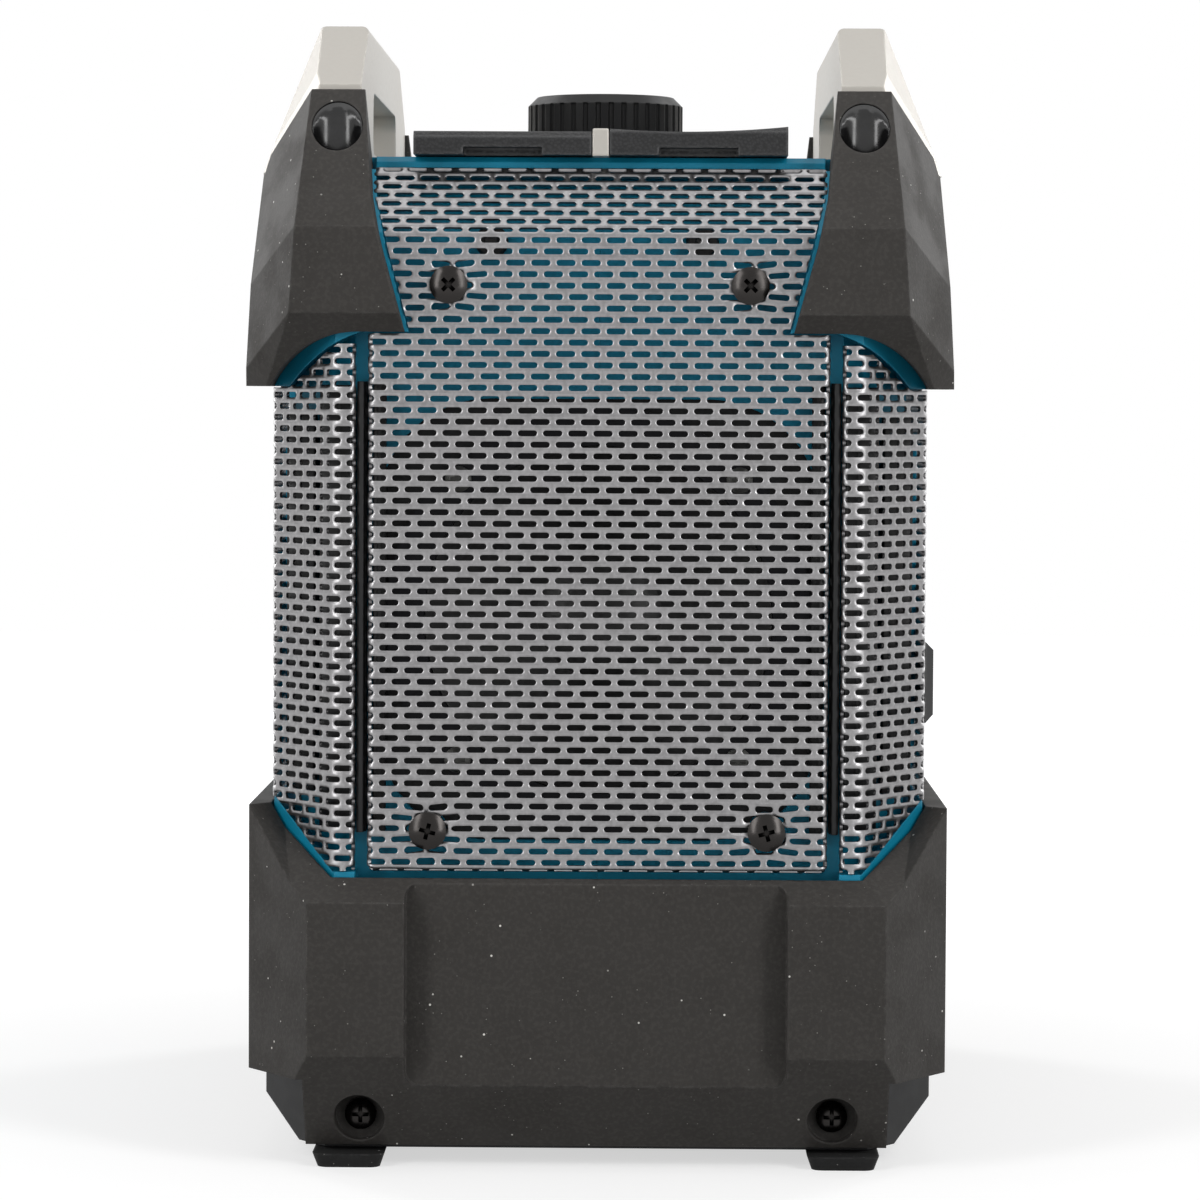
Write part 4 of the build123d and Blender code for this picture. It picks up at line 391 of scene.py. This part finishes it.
def make_finishes():
    """One finish for each material slot of the record."""
    made = {
        "teal_plastic": moulded(
            "teal_plastic", linear(7, 122, 152), 0.42, 0.5, 0.03, Specular_IOR_Level=0.35
        ),
        "dark_rubber": rubber("dark_rubber", linear(50, 48, 46), 0.6),
        "foot_rubber": rubber("foot_rubber", linear(28, 28, 28), 0.7),
        "silver_paint": painted_metal("silver_paint", linear(180, 176, 169), 0.36, Metallic=0.5),
        "grille_steel": sheet_steel("grille_steel", linear(138, 137, 138), 0.3),
        "black_screw": screw_metal("black_screw", linear(50, 48, 47), 0.2),
        "zinc_screw": metal("zinc_screw", linear(92, 92, 90), 0.42, 0.8, 0.006),
        "steel": metal("steel", linear(178, 178, 180), 0.32, 1.0, 0.006),
        "aluminium": metal("aluminium", linear(202, 203, 206), 0.38, 1.0, 0.008, (1, 1, 8)),
        "black_plastic": moulded("black_plastic", linear(18, 18, 19), 0.44, Specular_IOR_Level=0.3),
        "deck_black": pebbled("deck_black", linear(23, 23, 24), 0.52),
        "black_gloss": moulded("black_gloss", linear(12, 12, 13), 0.14, 0.5, 0.003),
        "knob_black": moulded(
            "knob_black", linear(14, 14, 15), 0.4, 0.5, 0.03, 0.5, Specular_IOR_Level=0.2
        ),
        "key_plastic": moulded("key_plastic", linear(58, 60, 63), 0.45),
        "clear_window": Finish("clear_window", linear(236, 240, 240), 0.05, Transmission_Weight=1.0),
        "display_panel": moulded("display_panel", linear(108, 126, 108), 0.3, 0.4, 0.004),
        "circuit_board": moulded("circuit_board", linear(22, 84, 50), 0.4, 0.8, 0.02),
        "ferrite": moulded("ferrite", linear(52, 50, 50), 0.55),
        "magnet": moulded("magnet", linear(44, 44, 46), 0.5),
        "cone_black": moulded("cone_black", linear(26, 25, 25), 0.36, 1.4, 0.06),
        "black_metal": metal("black_metal", linear(40, 40, 42), 0.36, 0.8, 0.01),
        "pack_plastic": moulded("pack_plastic", linear(34, 35, 38), 0.5),
    }
    return {slot: finish.material for slot, finish in made.items()}


finishes = make_finishes()
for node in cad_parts.values():
    for index, old in enumerate(node.data.materials):
        node.data.materials[index] = finishes[old.name]


# ---------------------------------------------------------------- perforated sheet
sheet_thickness = 1.0
slot_pitch = 6.65
row_pitch = 3.0
slot_length = 5.2
slot_height = 1.6
rim_width = 0.42  # rolled edge round each slot
rim_depth = 0.2
slot_phase = 4.405
row_phase = 1.86  # height of a row's middle line on the end sheets
wing_row_phase = 2.72  # and on the wrapped sheets
fold_radius = 2.0
fold_steps = 5
smooth_angle = math.radians(58)


class FoldedPath:
    """A line in a plane with rounded corners, measured along its developed length."""

    def __init__(self, corners, radii, zero, inward):
        """zero is the developed length's value at the second corner.

        inward is 1 where the inside lies to the left of the line, and -1 to the right.
        """
        self.inward = inward
        self.runs = []
        self.stations = []
        points = [np.array(corner, float) for corner in corners]
        at = 0.0
        start = points[0]
        for index in range(1, len(points)):
            along = points[index] - points[index - 1]
            along /= np.linalg.norm(along)
            last = index == len(points) - 1
            if last:
                length = np.linalg.norm(points[index] - start)
                self.runs.append((at, at + length, start, along, 0.0))
                self.length = at + length
                break
            after = points[index + 1] - points[index]
            after /= np.linalg.norm(after)
            turn = math.atan2(along[0] * after[1] - along[1] * after[0], float(along @ after))
            radius = radii[index - 1]
            tangent = radius * math.tan(abs(turn) / 2)
            bend_start = points[index] - along * tangent
            length = np.linalg.norm(bend_start - start)
            self.runs.append((at, at + length, start, along, 0.0))
            at += length
            arc = radius * abs(turn)
            if index == 1:
                self.zero = at + arc - tangent - zero
            self.runs.append((at, at + arc, bend_start, along, turn))
            self.stations += [at + arc * step / fold_steps for step in range(fold_steps + 1)]
            at += arc
            start = points[index] + after * tangent
        self.stations = [station - self.zero for station in self.stations]
        self.low = -self.zero
        self.high = self.length - self.zero

    def at(self, value):
        """Places on the line and the unit normals inward from it, for developed lengths."""
        value = np.asarray(value, float) + self.zero
        place = np.zeros(value.shape + (2,))
        heading = np.zeros(value.shape + (2,))
        for begin, end, start, along, turn in self.runs:
            last = end == self.length
            inside = (value >= begin) & ((value < end) | last) if begin > 0 else value < end
            step = value[inside] - begin
            angle = step / (end - begin) * turn
            left = np.array((-along[1], along[0]))
            ahead = np.cos(angle)[:, None] * along + np.sin(angle)[:, None] * left
            if turn:
                reach = (end - begin) / turn
                place[inside] = (
                    start
                    + reach * np.sin(angle)[:, None] * along
                    + reach * (1 - np.cos(angle))[:, None] * left
                )
            else:
                place[inside] = start + step[:, None] * along
            heading[inside] = ahead
        normal = np.stack((-heading[..., 1], heading[..., 0]), -1) * self.inward
        return place, normal


def slot_ring(grow):
    """Outline of one slot about its centre, as twelve points, made larger by grow."""
    radius = slot_height / 2
    points = []
    for side, first in ((1, -90), (-1, 90)):
        for step in range(6):
            angle = math.radians(first + 36 * step)
            points.append(
                (
                    side * (slot_length / 2 - radius) + (radius + grow) * math.cos(angle),
                    (radius + grow) * math.sin(angle),
                )
            )
    return points


# Faces of one tile: its six corners are named from its lower middle, and the twelve points of a ring
# round its slot are numbered
FAN = [
    ("low", "low_right", 1, 0),
    ("low_right", 2, 1),
    ("low_right", "high_right", 3, 2),
    ("high_right", 4, 3),
    ("high_right", "high", 5, 4),
    ("high", 6, 5),
    ("high", "high_left", 7, 6),
    ("high_left", 8, 7),
    ("high_left", "low_left", 9, 8),
    ("low_left", 10, 9),
    ("low_left", "low", 11, 10),
    ("low", 0, 11),
]


class FlatSheet:
    """A punched sheet lying flat: u across, v along, w the depth below its outer face."""

    def __init__(self, low_u, high_u, low_v, high_v, first_row, lines, keep):
        """first_row is the middle of a row, and lines are cuts (u, v, direction angle).

        keep says which places stay.
        """
        self.first_row = first_row
        columns_low = math.floor((low_u - slot_phase) / (slot_pitch / 2)) - 1
        columns_high = math.ceil((high_u - slot_phase) / (slot_pitch / 2)) + 1
        rows_low = math.floor((low_v - first_row) / row_pitch) - 1
        rows_high = math.ceil((high_v - first_row) / row_pitch) + 1
        cells = []
        for row in range(rows_low, rows_high + 1):
            for column in range(columns_low, columns_high + 1):
                if (row + column) % 2 == 0:
                    cells.append((column, row))
        cells = np.array(cells)
        centre_u = slot_phase + cells[:, 0] * slot_pitch / 2
        centre_v = first_row + cells[:, 1] * row_pitch
        crossed = np.zeros(len(cells), bool)
        for u, v, angle in lines:
            across = (-math.sin(angle), math.cos(angle))
            distance = abs((centre_u - u) * across[0] + (centre_v - v) * across[1])
            reach = slot_pitch / 2 * abs(across[0]) + row_pitch / 2 * abs(across[1])
            crossed |= distance < reach - 1e-6
        wanted = crossed | keep(centre_u, centre_v)
        self.mesh = bmesh.new()
        self.tiles(cells[wanted & crossed])
        self.cut(lines, keep)
        self.tiles(cells[wanted & ~crossed])
        bmesh.ops.remove_doubles(self.mesh, verts=self.mesh.verts, dist=1e-4)
        self.close_edges()

    def tiles(self, cells):
        """Adds whole tiles to the mesh, each with its slot."""
        if len(cells) == 0:
            return
        rings = [
            (slot_ring(rim_width), 0.0),
            (slot_ring(0.0), rim_depth),
            (slot_ring(0.0), sheet_thickness),
        ]
        low_column, low_row = cells.min(0)
        width = cells[:, 0].max() - low_column + 3
        height = cells[:, 1].max() - low_row + 2
        corner_u = slot_phase + (np.arange(width) + low_column - 1) * slot_pitch / 2
        corner_v = self.first_row + (np.arange(height) + low_row - 0.5) * row_pitch
        grid = np.stack(np.meshgrid(corner_u, corner_v), -1).reshape(-1, 2)
        front = np.c_[grid, np.zeros(len(grid))]
        back = np.c_[grid, np.full(len(grid), sheet_thickness)]
        ring_points = np.array([(u, v, w) for ring, w in rings for u, v in ring])
        centres = np.c_[
            slot_phase + cells[:, 0] * slot_pitch / 2,
            self.first_row + cells[:, 1] * row_pitch,
            np.zeros(len(cells)),
        ]
        own = (centres[:, None] + ring_points[None]).reshape(-1, 3)
        points = np.concatenate((front, back, own))
        column = cells[:, 0] - low_column + 1
        row = cells[:, 1] - low_row
        rim = {
            "low": row * width + column,
            "low_right": row * width + column + 1,
            "high_right": (row + 1) * width + column + 1,
            "high": (row + 1) * width + column,
            "high_left": (row + 1) * width + column - 1,
            "low_left": row * width + column - 1,
        }
        first_own = 2 * len(grid) + np.arange(len(cells)) * len(ring_points)
        faces = []

        def add(*corners):
            faces.extend(np.stack(corners, -1).tolist())

        for corners in FAN:
            outer = [rim[c] if isinstance(c, str) else first_own + c for c in corners]
            inner = [rim[c] + len(grid) if isinstance(c, str) else first_own + 24 + c for c in corners]
            add(*outer)
            add(*inner[::-1])
        for step in range(12):
            after = (step + 1) % 12
            for ring in (0, 12):
                add(
                    first_own + ring + step,
                    first_own + ring + after,
                    first_own + ring + 12 + after,
                    first_own + ring + 12 + step,
                )
        mesh = bpy.data.meshes.new("tiles")
        mesh.from_pydata(points.tolist(), [], faces)
        self.mesh.from_mesh(mesh)
        bpy.data.meshes.remove(mesh)
        loose = [vert for vert in self.mesh.verts if not vert.link_faces]
        bmesh.ops.delete(self.mesh, geom=loose, context="VERTS")

    def cut(self, lines, keep):
        """Cuts the faces along the lines and removes those that fall outside."""
        for u, v, angle in lines:
            across = (-math.sin(angle), math.cos(angle), 0.0)
            everything = self.mesh.verts[:] + self.mesh.edges[:] + self.mesh.faces[:]
            bmesh.ops.bisect_plane(
                self.mesh, geom=everything, dist=1e-5, plane_co=(u, v, 0), plane_no=across
            )
        centres = np.array([face.calc_center_median()[:] for face in self.mesh.faces]).reshape(-1, 3)
        stays = keep(centres[:, 0], centres[:, 1])
        gone = [face for face, stay in zip(self.mesh.faces, stays) if not stay]
        bmesh.ops.delete(self.mesh, geom=gone, context="FACES")

    def close_edges(self):
        """Joins the front and back faces along every cut."""
        after = {}
        for edge in self.mesh.edges:
            if len(edge.link_faces) == 1:
                loop = edge.link_loops[0]
                after.setdefault(loop.link_loop_next.vert, []).append(loop.vert)
        while after:
            first = next(iter(after))
            chain = [first]
            at = first
            while True:
                options = after[at]
                target = options.pop()
                if not options:
                    del after[at]
                if target is first or target not in after:
                    break
                chain.append(target)
                at = target
            self.fill(chain)

    def fill(self, chain):
        """Fills a closed chain of edge points, split where a front point has a back point under it."""
        for first in range(len(chain)):
            for second in range(first + 2, len(chain)):
                if first == 0 and second == len(chain) - 1:
                    continue
                a, b = chain[first].co, chain[second].co
                if abs(a.x - b.x) < 2e-4 and abs(a.y - b.y) < 2e-4 and abs(a.z - b.z) > 0.1:
                    self.fill(chain[first:second + 1])
                    self.fill(chain[second:] + chain[:first + 1])
                    return
        if len(chain) > 2:
            try:
                self.mesh.faces.new(chain)
            except ValueError:
                pass

    def place(self, name, where):
        """Turns the flat sheet into an object; where gives the places of its points in millimetres."""
        flat = np.array([vert.co[:] for vert in self.mesh.verts])
        mesh = bpy.data.meshes.new(name)
        self.mesh.to_mesh(mesh)
        self.mesh.free()
        mesh.vertices.foreach_set("co", (where(flat[:, 0], flat[:, 1], flat[:, 2]) * MM).ravel())
        mesh.update()
        mesh.polygons.foreach_set("use_smooth", np.ones(len(mesh.polygons), bool))
        mesh.set_sharp_from_angle(angle=smooth_angle)
        mesh.materials.append(finishes["grille_steel"])
        return sheet_object(name, mesh)


def sheet_object(name, mesh):
    piece = bpy.data.objects.new(name, mesh)
    bpy.context.scene.collection.objects.link(piece)
    weighted = piece.modifiers.new("flat faces stay flat", "WEIGHTED_NORMAL")
    weighted.keep_sharp = True
    return piece


def mirrored(piece, name, axis):
    """A copy of a sheet, mirrored across the plane where the axis (0 or 1) is zero."""
    mesh = piece.data.copy()
    mesh.name = name
    flip = Matrix.Identity(4)
    flip[axis][axis] = -1
    mesh.transform(flip)
    mesh.flip_normals()
    return sheet_object(name, mesh)


def level(value):
    return (0.0, value, 0.0)


def upright(value):
    return (value, 0.0, math.pi / 2)


def through(first, second):
    """The cut line through two flat places."""
    return (first[0], first[1], math.atan2(second[1] - first[1], second[0] - first[0]))


def inside_outline(u, v, outline):
    """Which places lie inside a closed outline of flat points."""
    inside = np.zeros(np.shape(u), bool)
    for (u1, v1), (u2, v2) in zip(outline, outline[1:] + outline[:1]):
        spans = (v1 > v) != (v2 > v)
        rise = v2 - v1 if v2 != v1 else 1.0
        inside ^= spans & (u < (u2 - u1) * (v - v1) / rise + u1)
    return inside


# ---------------------------------------------------------------- end grilles
bend_z = 249.7
lean_run = 14.0
lean_rise = 17.5
side_return = 4.6
bottom_return = 4.2
top_return = 1.6
step_z = 223.1
fold_trim = 0.2  # the corners' cut lies this part of the fold radius inside the face's edge
bend_radius = 4.0
lip_radius = 1.0
top_corner_slope = 0.23
narrow_edge = [(50.0, 223.1), (56.1, 246.0), (58.9, 259.0), (61.0, 267.0), (62.6, 274.0)]
dish_radius = 8.2
dish_floor = 5.4
dish_depth = 0.9
dish_places = [(39.9, 236.0), (45.0, 91.2)]
dish_pull = 0.7  # the slots round a screw are drawn towards it
dish_pull_radius = 6.6
dish_pull_width = 1.5


def make_end_grille():
    low, high = extent("side_grille_left")
    face_y = low.y
    half = high.x
    top_run = (high.z - bend_z) * lean_run / lean_rise
    rise = FoldedPath(
        [
            (face_y + bottom_return, low.z),
            (face_y, low.z),
            (face_y, bend_z),
            (face_y + top_run, high.z),
            (face_y + top_run + top_return, high.z),
        ],
        [fold_radius, bend_radius, lip_radius],
        low.z,
        -1,
    )
    across = FoldedPath(
        [(-half, side_return), (-half, 0), (half, 0), (half, side_return)],
        [fold_radius, fold_radius],
        -half,
        1,
    )
    lines = [upright(station) for station in across.stations + [across.low, across.high]]
    lines += [level(station) for station in rise.stations + [rise.low, rise.high, step_z]]
    for first, second in zip(narrow_edge, narrow_edge[1:]):
        for side in (-1, 1):
            lines.append(through((side * first[0], first[1]), (side * second[0], second[1])))
    fold_u = half - fold_radius * fold_trim
    fold_v = low.z + fold_radius * fold_trim
    right = [(fold_u, rise.low), (fold_u, fold_v), (across.high, fold_v), (across.high, step_z)]
    right += [(edge_u, edge_v) for edge_u, edge_v in narrow_edge if edge_v < rise.high]
    corner_u, corner_v = narrow_edge[-2]
    right.append((corner_u + (rise.high - corner_v) * top_corner_slope, rise.high))
    outline = right + [(-u, v) for u, v in right[::-1]]
    lines += [upright(-fold_u), upright(fold_u), level(fold_v)]

    def keep(u, v):
        return inside_outline(u, v, outline)

    def where(u, v, w):
        dent = np.zeros(len(u))
        for dish_u, dish_v in dish_places:
            across_dish = abs(u) - dish_u
            up_dish = v - dish_v
            distance = np.hypot(across_dish, up_dish)
            drawn = np.exp(-((distance - dish_pull_radius) / dish_pull_width) ** 2)
            pull = dish_pull * drawn / np.maximum(distance, 0.1)
            u = u - np.sign(u) * across_dish * pull
            v = v - up_dish * pull
            ramp = np.clip((dish_radius - distance) / (dish_radius - dish_floor), 0, 1)
            dent += dish_depth * ramp * ramp * (3 - 2 * ramp)
        side, side_in = across.at(u)
        up, up_in = rise.at(v)
        depth = side[:, 1] + w * side_in[:, 1] + dent
        return np.stack(
            (
                side[:, 0] + w * side_in[:, 0],
                up[:, 0] + depth * up_in[:, 0],
                up[:, 1] + depth * up_in[:, 1],
            ),
            -1,
        )

    sheet = FlatSheet(across.low, across.high, rise.low, rise.high, row_phase, lines, keep)
    return sheet.place("left_end_sheet", where)


left_sheet = make_end_grille()
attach(left_sheet, "radio")
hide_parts("side_grille_left")
right_sheet = mirrored(left_sheet, "right_end_sheet", 1)
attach(right_sheet, "radio")
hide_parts("side_grille_right")


# ---------------------------------------------------------------- wrapped grilles
corner_cut_x = 18.0
corner_cut_y = 24.0
corner_round = 6.0
wing_return = 3.8
wing_low_flat = 80.4
wing_low_side = 98.1
wing_tip = (69.0, 220.3)
wing_sweep = (83.2, 208.7)
side_step_y = 74.0
side_top = 262.0
rear_end_y = -54.0
side_margin = 1.0
search_steps = 4000


def make_wrapped_sheet(name, end_y=None):
    """Sheet round a -Y corner and along +X up to end_y, or round the other corner too."""
    low, high = extent("front_grille")
    face_x, face_y, inner = high.x, low.y, low.x
    plan = [
        (inner, face_y + wing_return),
        (inner, face_y),
        (face_x - corner_cut_x, face_y),
        (face_x, face_y + corner_cut_y),
    ]
    whole = end_y is None
    if whole:
        plan += [(x, -y) for x, y in plan[::-1]]
        radii = [fold_radius, corner_round, corner_round, corner_round, corner_round, fold_radius]
    else:
        plan += [(face_x, end_y), (face_x - wing_return, end_y)]
        radii = [fold_radius, corner_round, corner_round, fold_radius]
    round_plan = FoldedPath(plan, radii, inner, 1)
    search = np.linspace(round_plan.low, round_plan.high, search_steps)
    places, _ = round_plan.at(search)

    def along_x(x):
        """Developed length where the first corner reaches this x."""
        near = (places[:, 1] < face_y + corner_cut_y) & (search > inner)
        return float(np.interp(x, places[near][:, 0], search[near]))

    def along_y(y):
        """Developed length where the long side reaches this y."""
        near = places[:, 0] > face_x - 0.01
        return float(np.interp(y, places[near][:, 1], search[near]))

    side_u = along_x(face_x - side_margin)
    half = [
        (round_plan.low, wing_low_flat),
        (along_x(face_x - corner_cut_x), wing_low_flat),
        (side_u, wing_low_side),
    ]
    top = [
        (round_plan.low, wing_tip[1]),
        (along_x(wing_tip[0]), wing_tip[1]),
        (along_x(wing_sweep[0]), wing_sweep[1]),
        (along_y(-side_step_y), wing_sweep[1]),
        (along_y(-side_step_y), side_top),
    ]
    if whole:
        turn = round_plan.low + round_plan.high
        low_edge = half + [(turn - u, v) for u, v in half[::-1]]
        high_edge = top + [(turn - u, v) for u, v in top[::-1]]
    else:
        low_edge = half + [(round_plan.high, wing_low_side)]
        high_edge = top + [(round_plan.high, side_top)]
    outline = low_edge + high_edge[::-1]
    lines = [upright(station) for station in round_plan.stations + [round_plan.low, round_plan.high]]
    for first, second in zip(outline, outline[1:]):
        if abs(first[0] - second[0]) + abs(first[1] - second[1]) > 1e-6:
            lines.append(through(first, second))

    def keep(u, v):
        return inside_outline(u, v, outline)

    def where(u, v, w):
        flat, inward = round_plan.at(u)
        return np.stack((flat[:, 0] + w * inward[:, 0], flat[:, 1] + w * inward[:, 1], v), -1)

    sheet = FlatSheet(round_plan.low, round_plan.high, wing_low_flat, side_top, wing_row_phase, lines, keep)
    return sheet.place(name, where)


front_sheet = make_wrapped_sheet("front_sheet")
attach(front_sheet, "radio")
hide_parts("front_grille")
rear_pattern = make_wrapped_sheet("rear_pattern", rear_end_y)
rear_left_sheet = mirrored(rear_pattern, "rear_left_sheet", 0)
bpy.data.objects.remove(rear_pattern)
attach(rear_left_sheet, "radio")
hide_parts("rear_grille_left")
rear_right_sheet = mirrored(rear_left_sheet, "rear_right_sheet", 1)
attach(rear_right_sheet, "radio")
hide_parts("rear_grille_right")


# ---------------------------------------------------------------- behind the grilles
def join_piece(name, slot, build, bevel=0.0):
    """A piece of the body whose mesh is drawn in millimetres by build(mesh)."""
    shape = bmesh.new()
    build(shape)
    bmesh.ops.remove_doubles(shape, verts=shape.verts, dist=1e-4)
    bmesh.ops.recalc_face_normals(shape, faces=shape.faces)
    if bevel:
        inner = [edge for edge in shape.edges if len(edge.link_faces) == 2]
        sharp = [edge for edge in inner if edge.calc_face_angle() > 0.6]
        bmesh.ops.bevel(shape, geom=sharp, offset=bevel, segments=2, affect="EDGES", profile=0.5)
    for vert in shape.verts:
        vert.co *= MM
    mesh = bpy.data.meshes.new(name)
    shape.to_mesh(mesh)
    shape.free()
    mesh.polygons.foreach_set("use_smooth", np.ones(len(mesh.polygons), bool))
    mesh.set_sharp_from_angle(angle=math.radians(35))
    mesh.materials.append(finishes[slot])
    piece = bpy.data.objects.new(name, mesh)
    bpy.context.scene.collection.objects.link(piece)
    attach(piece, "radio")
    return piece


def add_prism(shape, plan, low, high):
    """Upright prism over a plan of (x, y) places, between two heights."""
    floor = [shape.verts.new((x, y, low)) for x, y in plan]
    roof = [shape.verts.new((x, y, high)) for x, y in plan]
    shape.faces.new(floor[::-1])
    shape.faces.new(roof)
    for index in range(len(plan)):
        after = (index + 1) % len(plan)
        shape.faces.new((floor[index], floor[after], roof[after], roof[index]))


def add_turned(shape, profile, centre, outward, steps):
    """Turned form: the profile is a list of (radius, height) from a centre along outward."""
    outward = Vector(outward).normalized()
    across = outward.orthogonal().normalized()
    other = outward.cross(across)
    rings = []
    for radius, height in profile:
        spot = Vector(centre) + outward * height
        if radius == 0:
            rings.append([shape.verts.new(spot)])
            continue
        ring = []
        for step in range(steps):
            angle = math.tau * step / steps
            turned = math.cos(angle) * across + math.sin(angle) * other
            ring.append(shape.verts.new(spot + radius * turned))
        rings.append(ring)
    for first, second in zip(rings, rings[1:]):
        for step in range(steps):
            after = (step + 1) % steps
            corners = [first[step % len(first)], first[after % len(first)]]
            corners += [second[after % len(second)], second[step % len(second)]]
            corners = list(dict.fromkeys(corners))
            if len(corners) > 2:
                shape.faces.new(corners)
    for ring in (rings[0], rings[-1]):
        if len(ring) > 1:
            shape.faces.new(ring)


def four_ways(plan):
    """A plan drawn at -X and -Y, and its mirror images in the other three corners."""
    return [[(sx * x, sy * y) for x, y in plan] for sx in (1, -1) for sy in (1, -1)]


baffle_y = 114.1
channel_rail = [
    (-64.1, -baffle_y),
    (-64.1, -120.2),
    (-63.5, -120.7),
    (-62.4, -120.7),
    (-62.1, -120.2),
    (-62.1, -118.2),
    (-61.6, -118.0),
    (-61.6, -baffle_y),
]
gasket_rail = [
    (-60.0, -baffle_y),
    (-60.0, -118.0),
    (-58.8, -118.6),
    (-57.8, -118.0),
    (-56.6, -118.2),
    (-56.6, -baffle_y),
]
rail_low = 90.5
rail_high = 210.4


def draw_rails(shape):
    for plan in four_ways(channel_rail) + four_ways(gasket_rail):
        add_prism(shape, plan, rail_low, rail_high)


join_piece("channel_rails", "black_plastic", draw_rails, 0.15)

# Black liners behind the corners of the wrapped grilles, with an open joint between the two
liner_thickness = 1.0
liner_inner = [(-65.8, -119.4), (-68.6, -119.4), (-74.7, -111.3)]
liner_outer = [(-76.4, -109.0), (-84.5, -98.2), (-84.5, -88.0)]
liner_inner_low = 90.5
liner_inner_high = 209.4
liner_outer_low = 100.5
liner_outer_high = 202.0


def liner_plan(path):
    """Plan of a liner: a path, and the path again further inside."""
    back = [(x + liner_thickness, y + liner_thickness) for x, y in path]
    return path + back[::-1]


def draw_liners(shape):
    for plan in four_ways(liner_plan(liner_inner)):
        add_prism(shape, plan, liner_inner_low, liner_inner_high)
    for plan in four_ways(liner_plan(liner_outer)):
        add_prism(shape, plan, liner_outer_low, liner_outer_high)


join_piece("corner_liners", "black_plastic", draw_liners, 0.2)

# Clips that hold the end grilles below their bend
clip_places = [(-28.8, 247.6), (27.2, 247.6)]
clip_profile = [(4.4, 0.0), (4.4, 2.2), (3.7, 3.2), (2.0, 3.4), (1.6, 5.0), (0.0, 5.4)]


def draw_clips(shape):
    for side_y in (-1, 1):
        for x, z in clip_places:
            add_turned(shape, clip_profile, (x, side_y * baffle_y, z), (0, side_y, 0), 24)


join_piece("grille_clips", "black_plastic", draw_clips)

# Glossy curved walls in the screw wells of the bumpers
well_x = 70.1
well_z = 278.2
plug_radius = 6.7
plug_foot = 106.3
plug_rings = (1.2, 2.4, 3.6, 4.6, 5.4, 6.0, 6.4, plug_radius)
plug_steps = 36
hollow_radius = 7.2
hollow_back = 109.1
hollow_lean = 0.09
mouth_middle = 112.5
mouth_slope = 0.669  # the mouth of a well runs outward as it goes down


def plug_front(x, up):
    """How far out the front of a plug lies, across and up from the middle of its well."""
    wall = hollow_back + hollow_lean * up + hollow_radius - math.sqrt(hollow_radius ** 2 - x * x)
    return min(wall, mouth_middle - mouth_slope * up)


def add_plug(shape, side_x, side_y):
    def ring(radius, front):
        made = []
        for step in range(plug_steps):
            x = radius * math.cos(math.tau * step / plug_steps)
            up = radius * math.sin(math.tau * step / plug_steps)
            made.append(shape.verts.new((side_x * well_x + x, side_y * front(x, up), well_z + up)))
        return made

    rings = [ring(radius, plug_front) for radius in plug_rings]
    rings.append(ring(plug_radius, lambda x, up: plug_foot))
    shape.faces.new(rings[0])
    shape.faces.new(rings[-1])
    for first, second in zip(rings, rings[1:]):
        for step in range(plug_steps):
            after = (step + 1) % plug_steps
            shape.faces.new((first[step], first[after], second[after], second[step]))


def draw_plugs(shape):
    for side_x in (-1, 1):
        for side_y in (-1, 1):
            add_plug(shape, side_x, side_y)


join_piece("well_plugs", "black_gloss", draw_plugs)
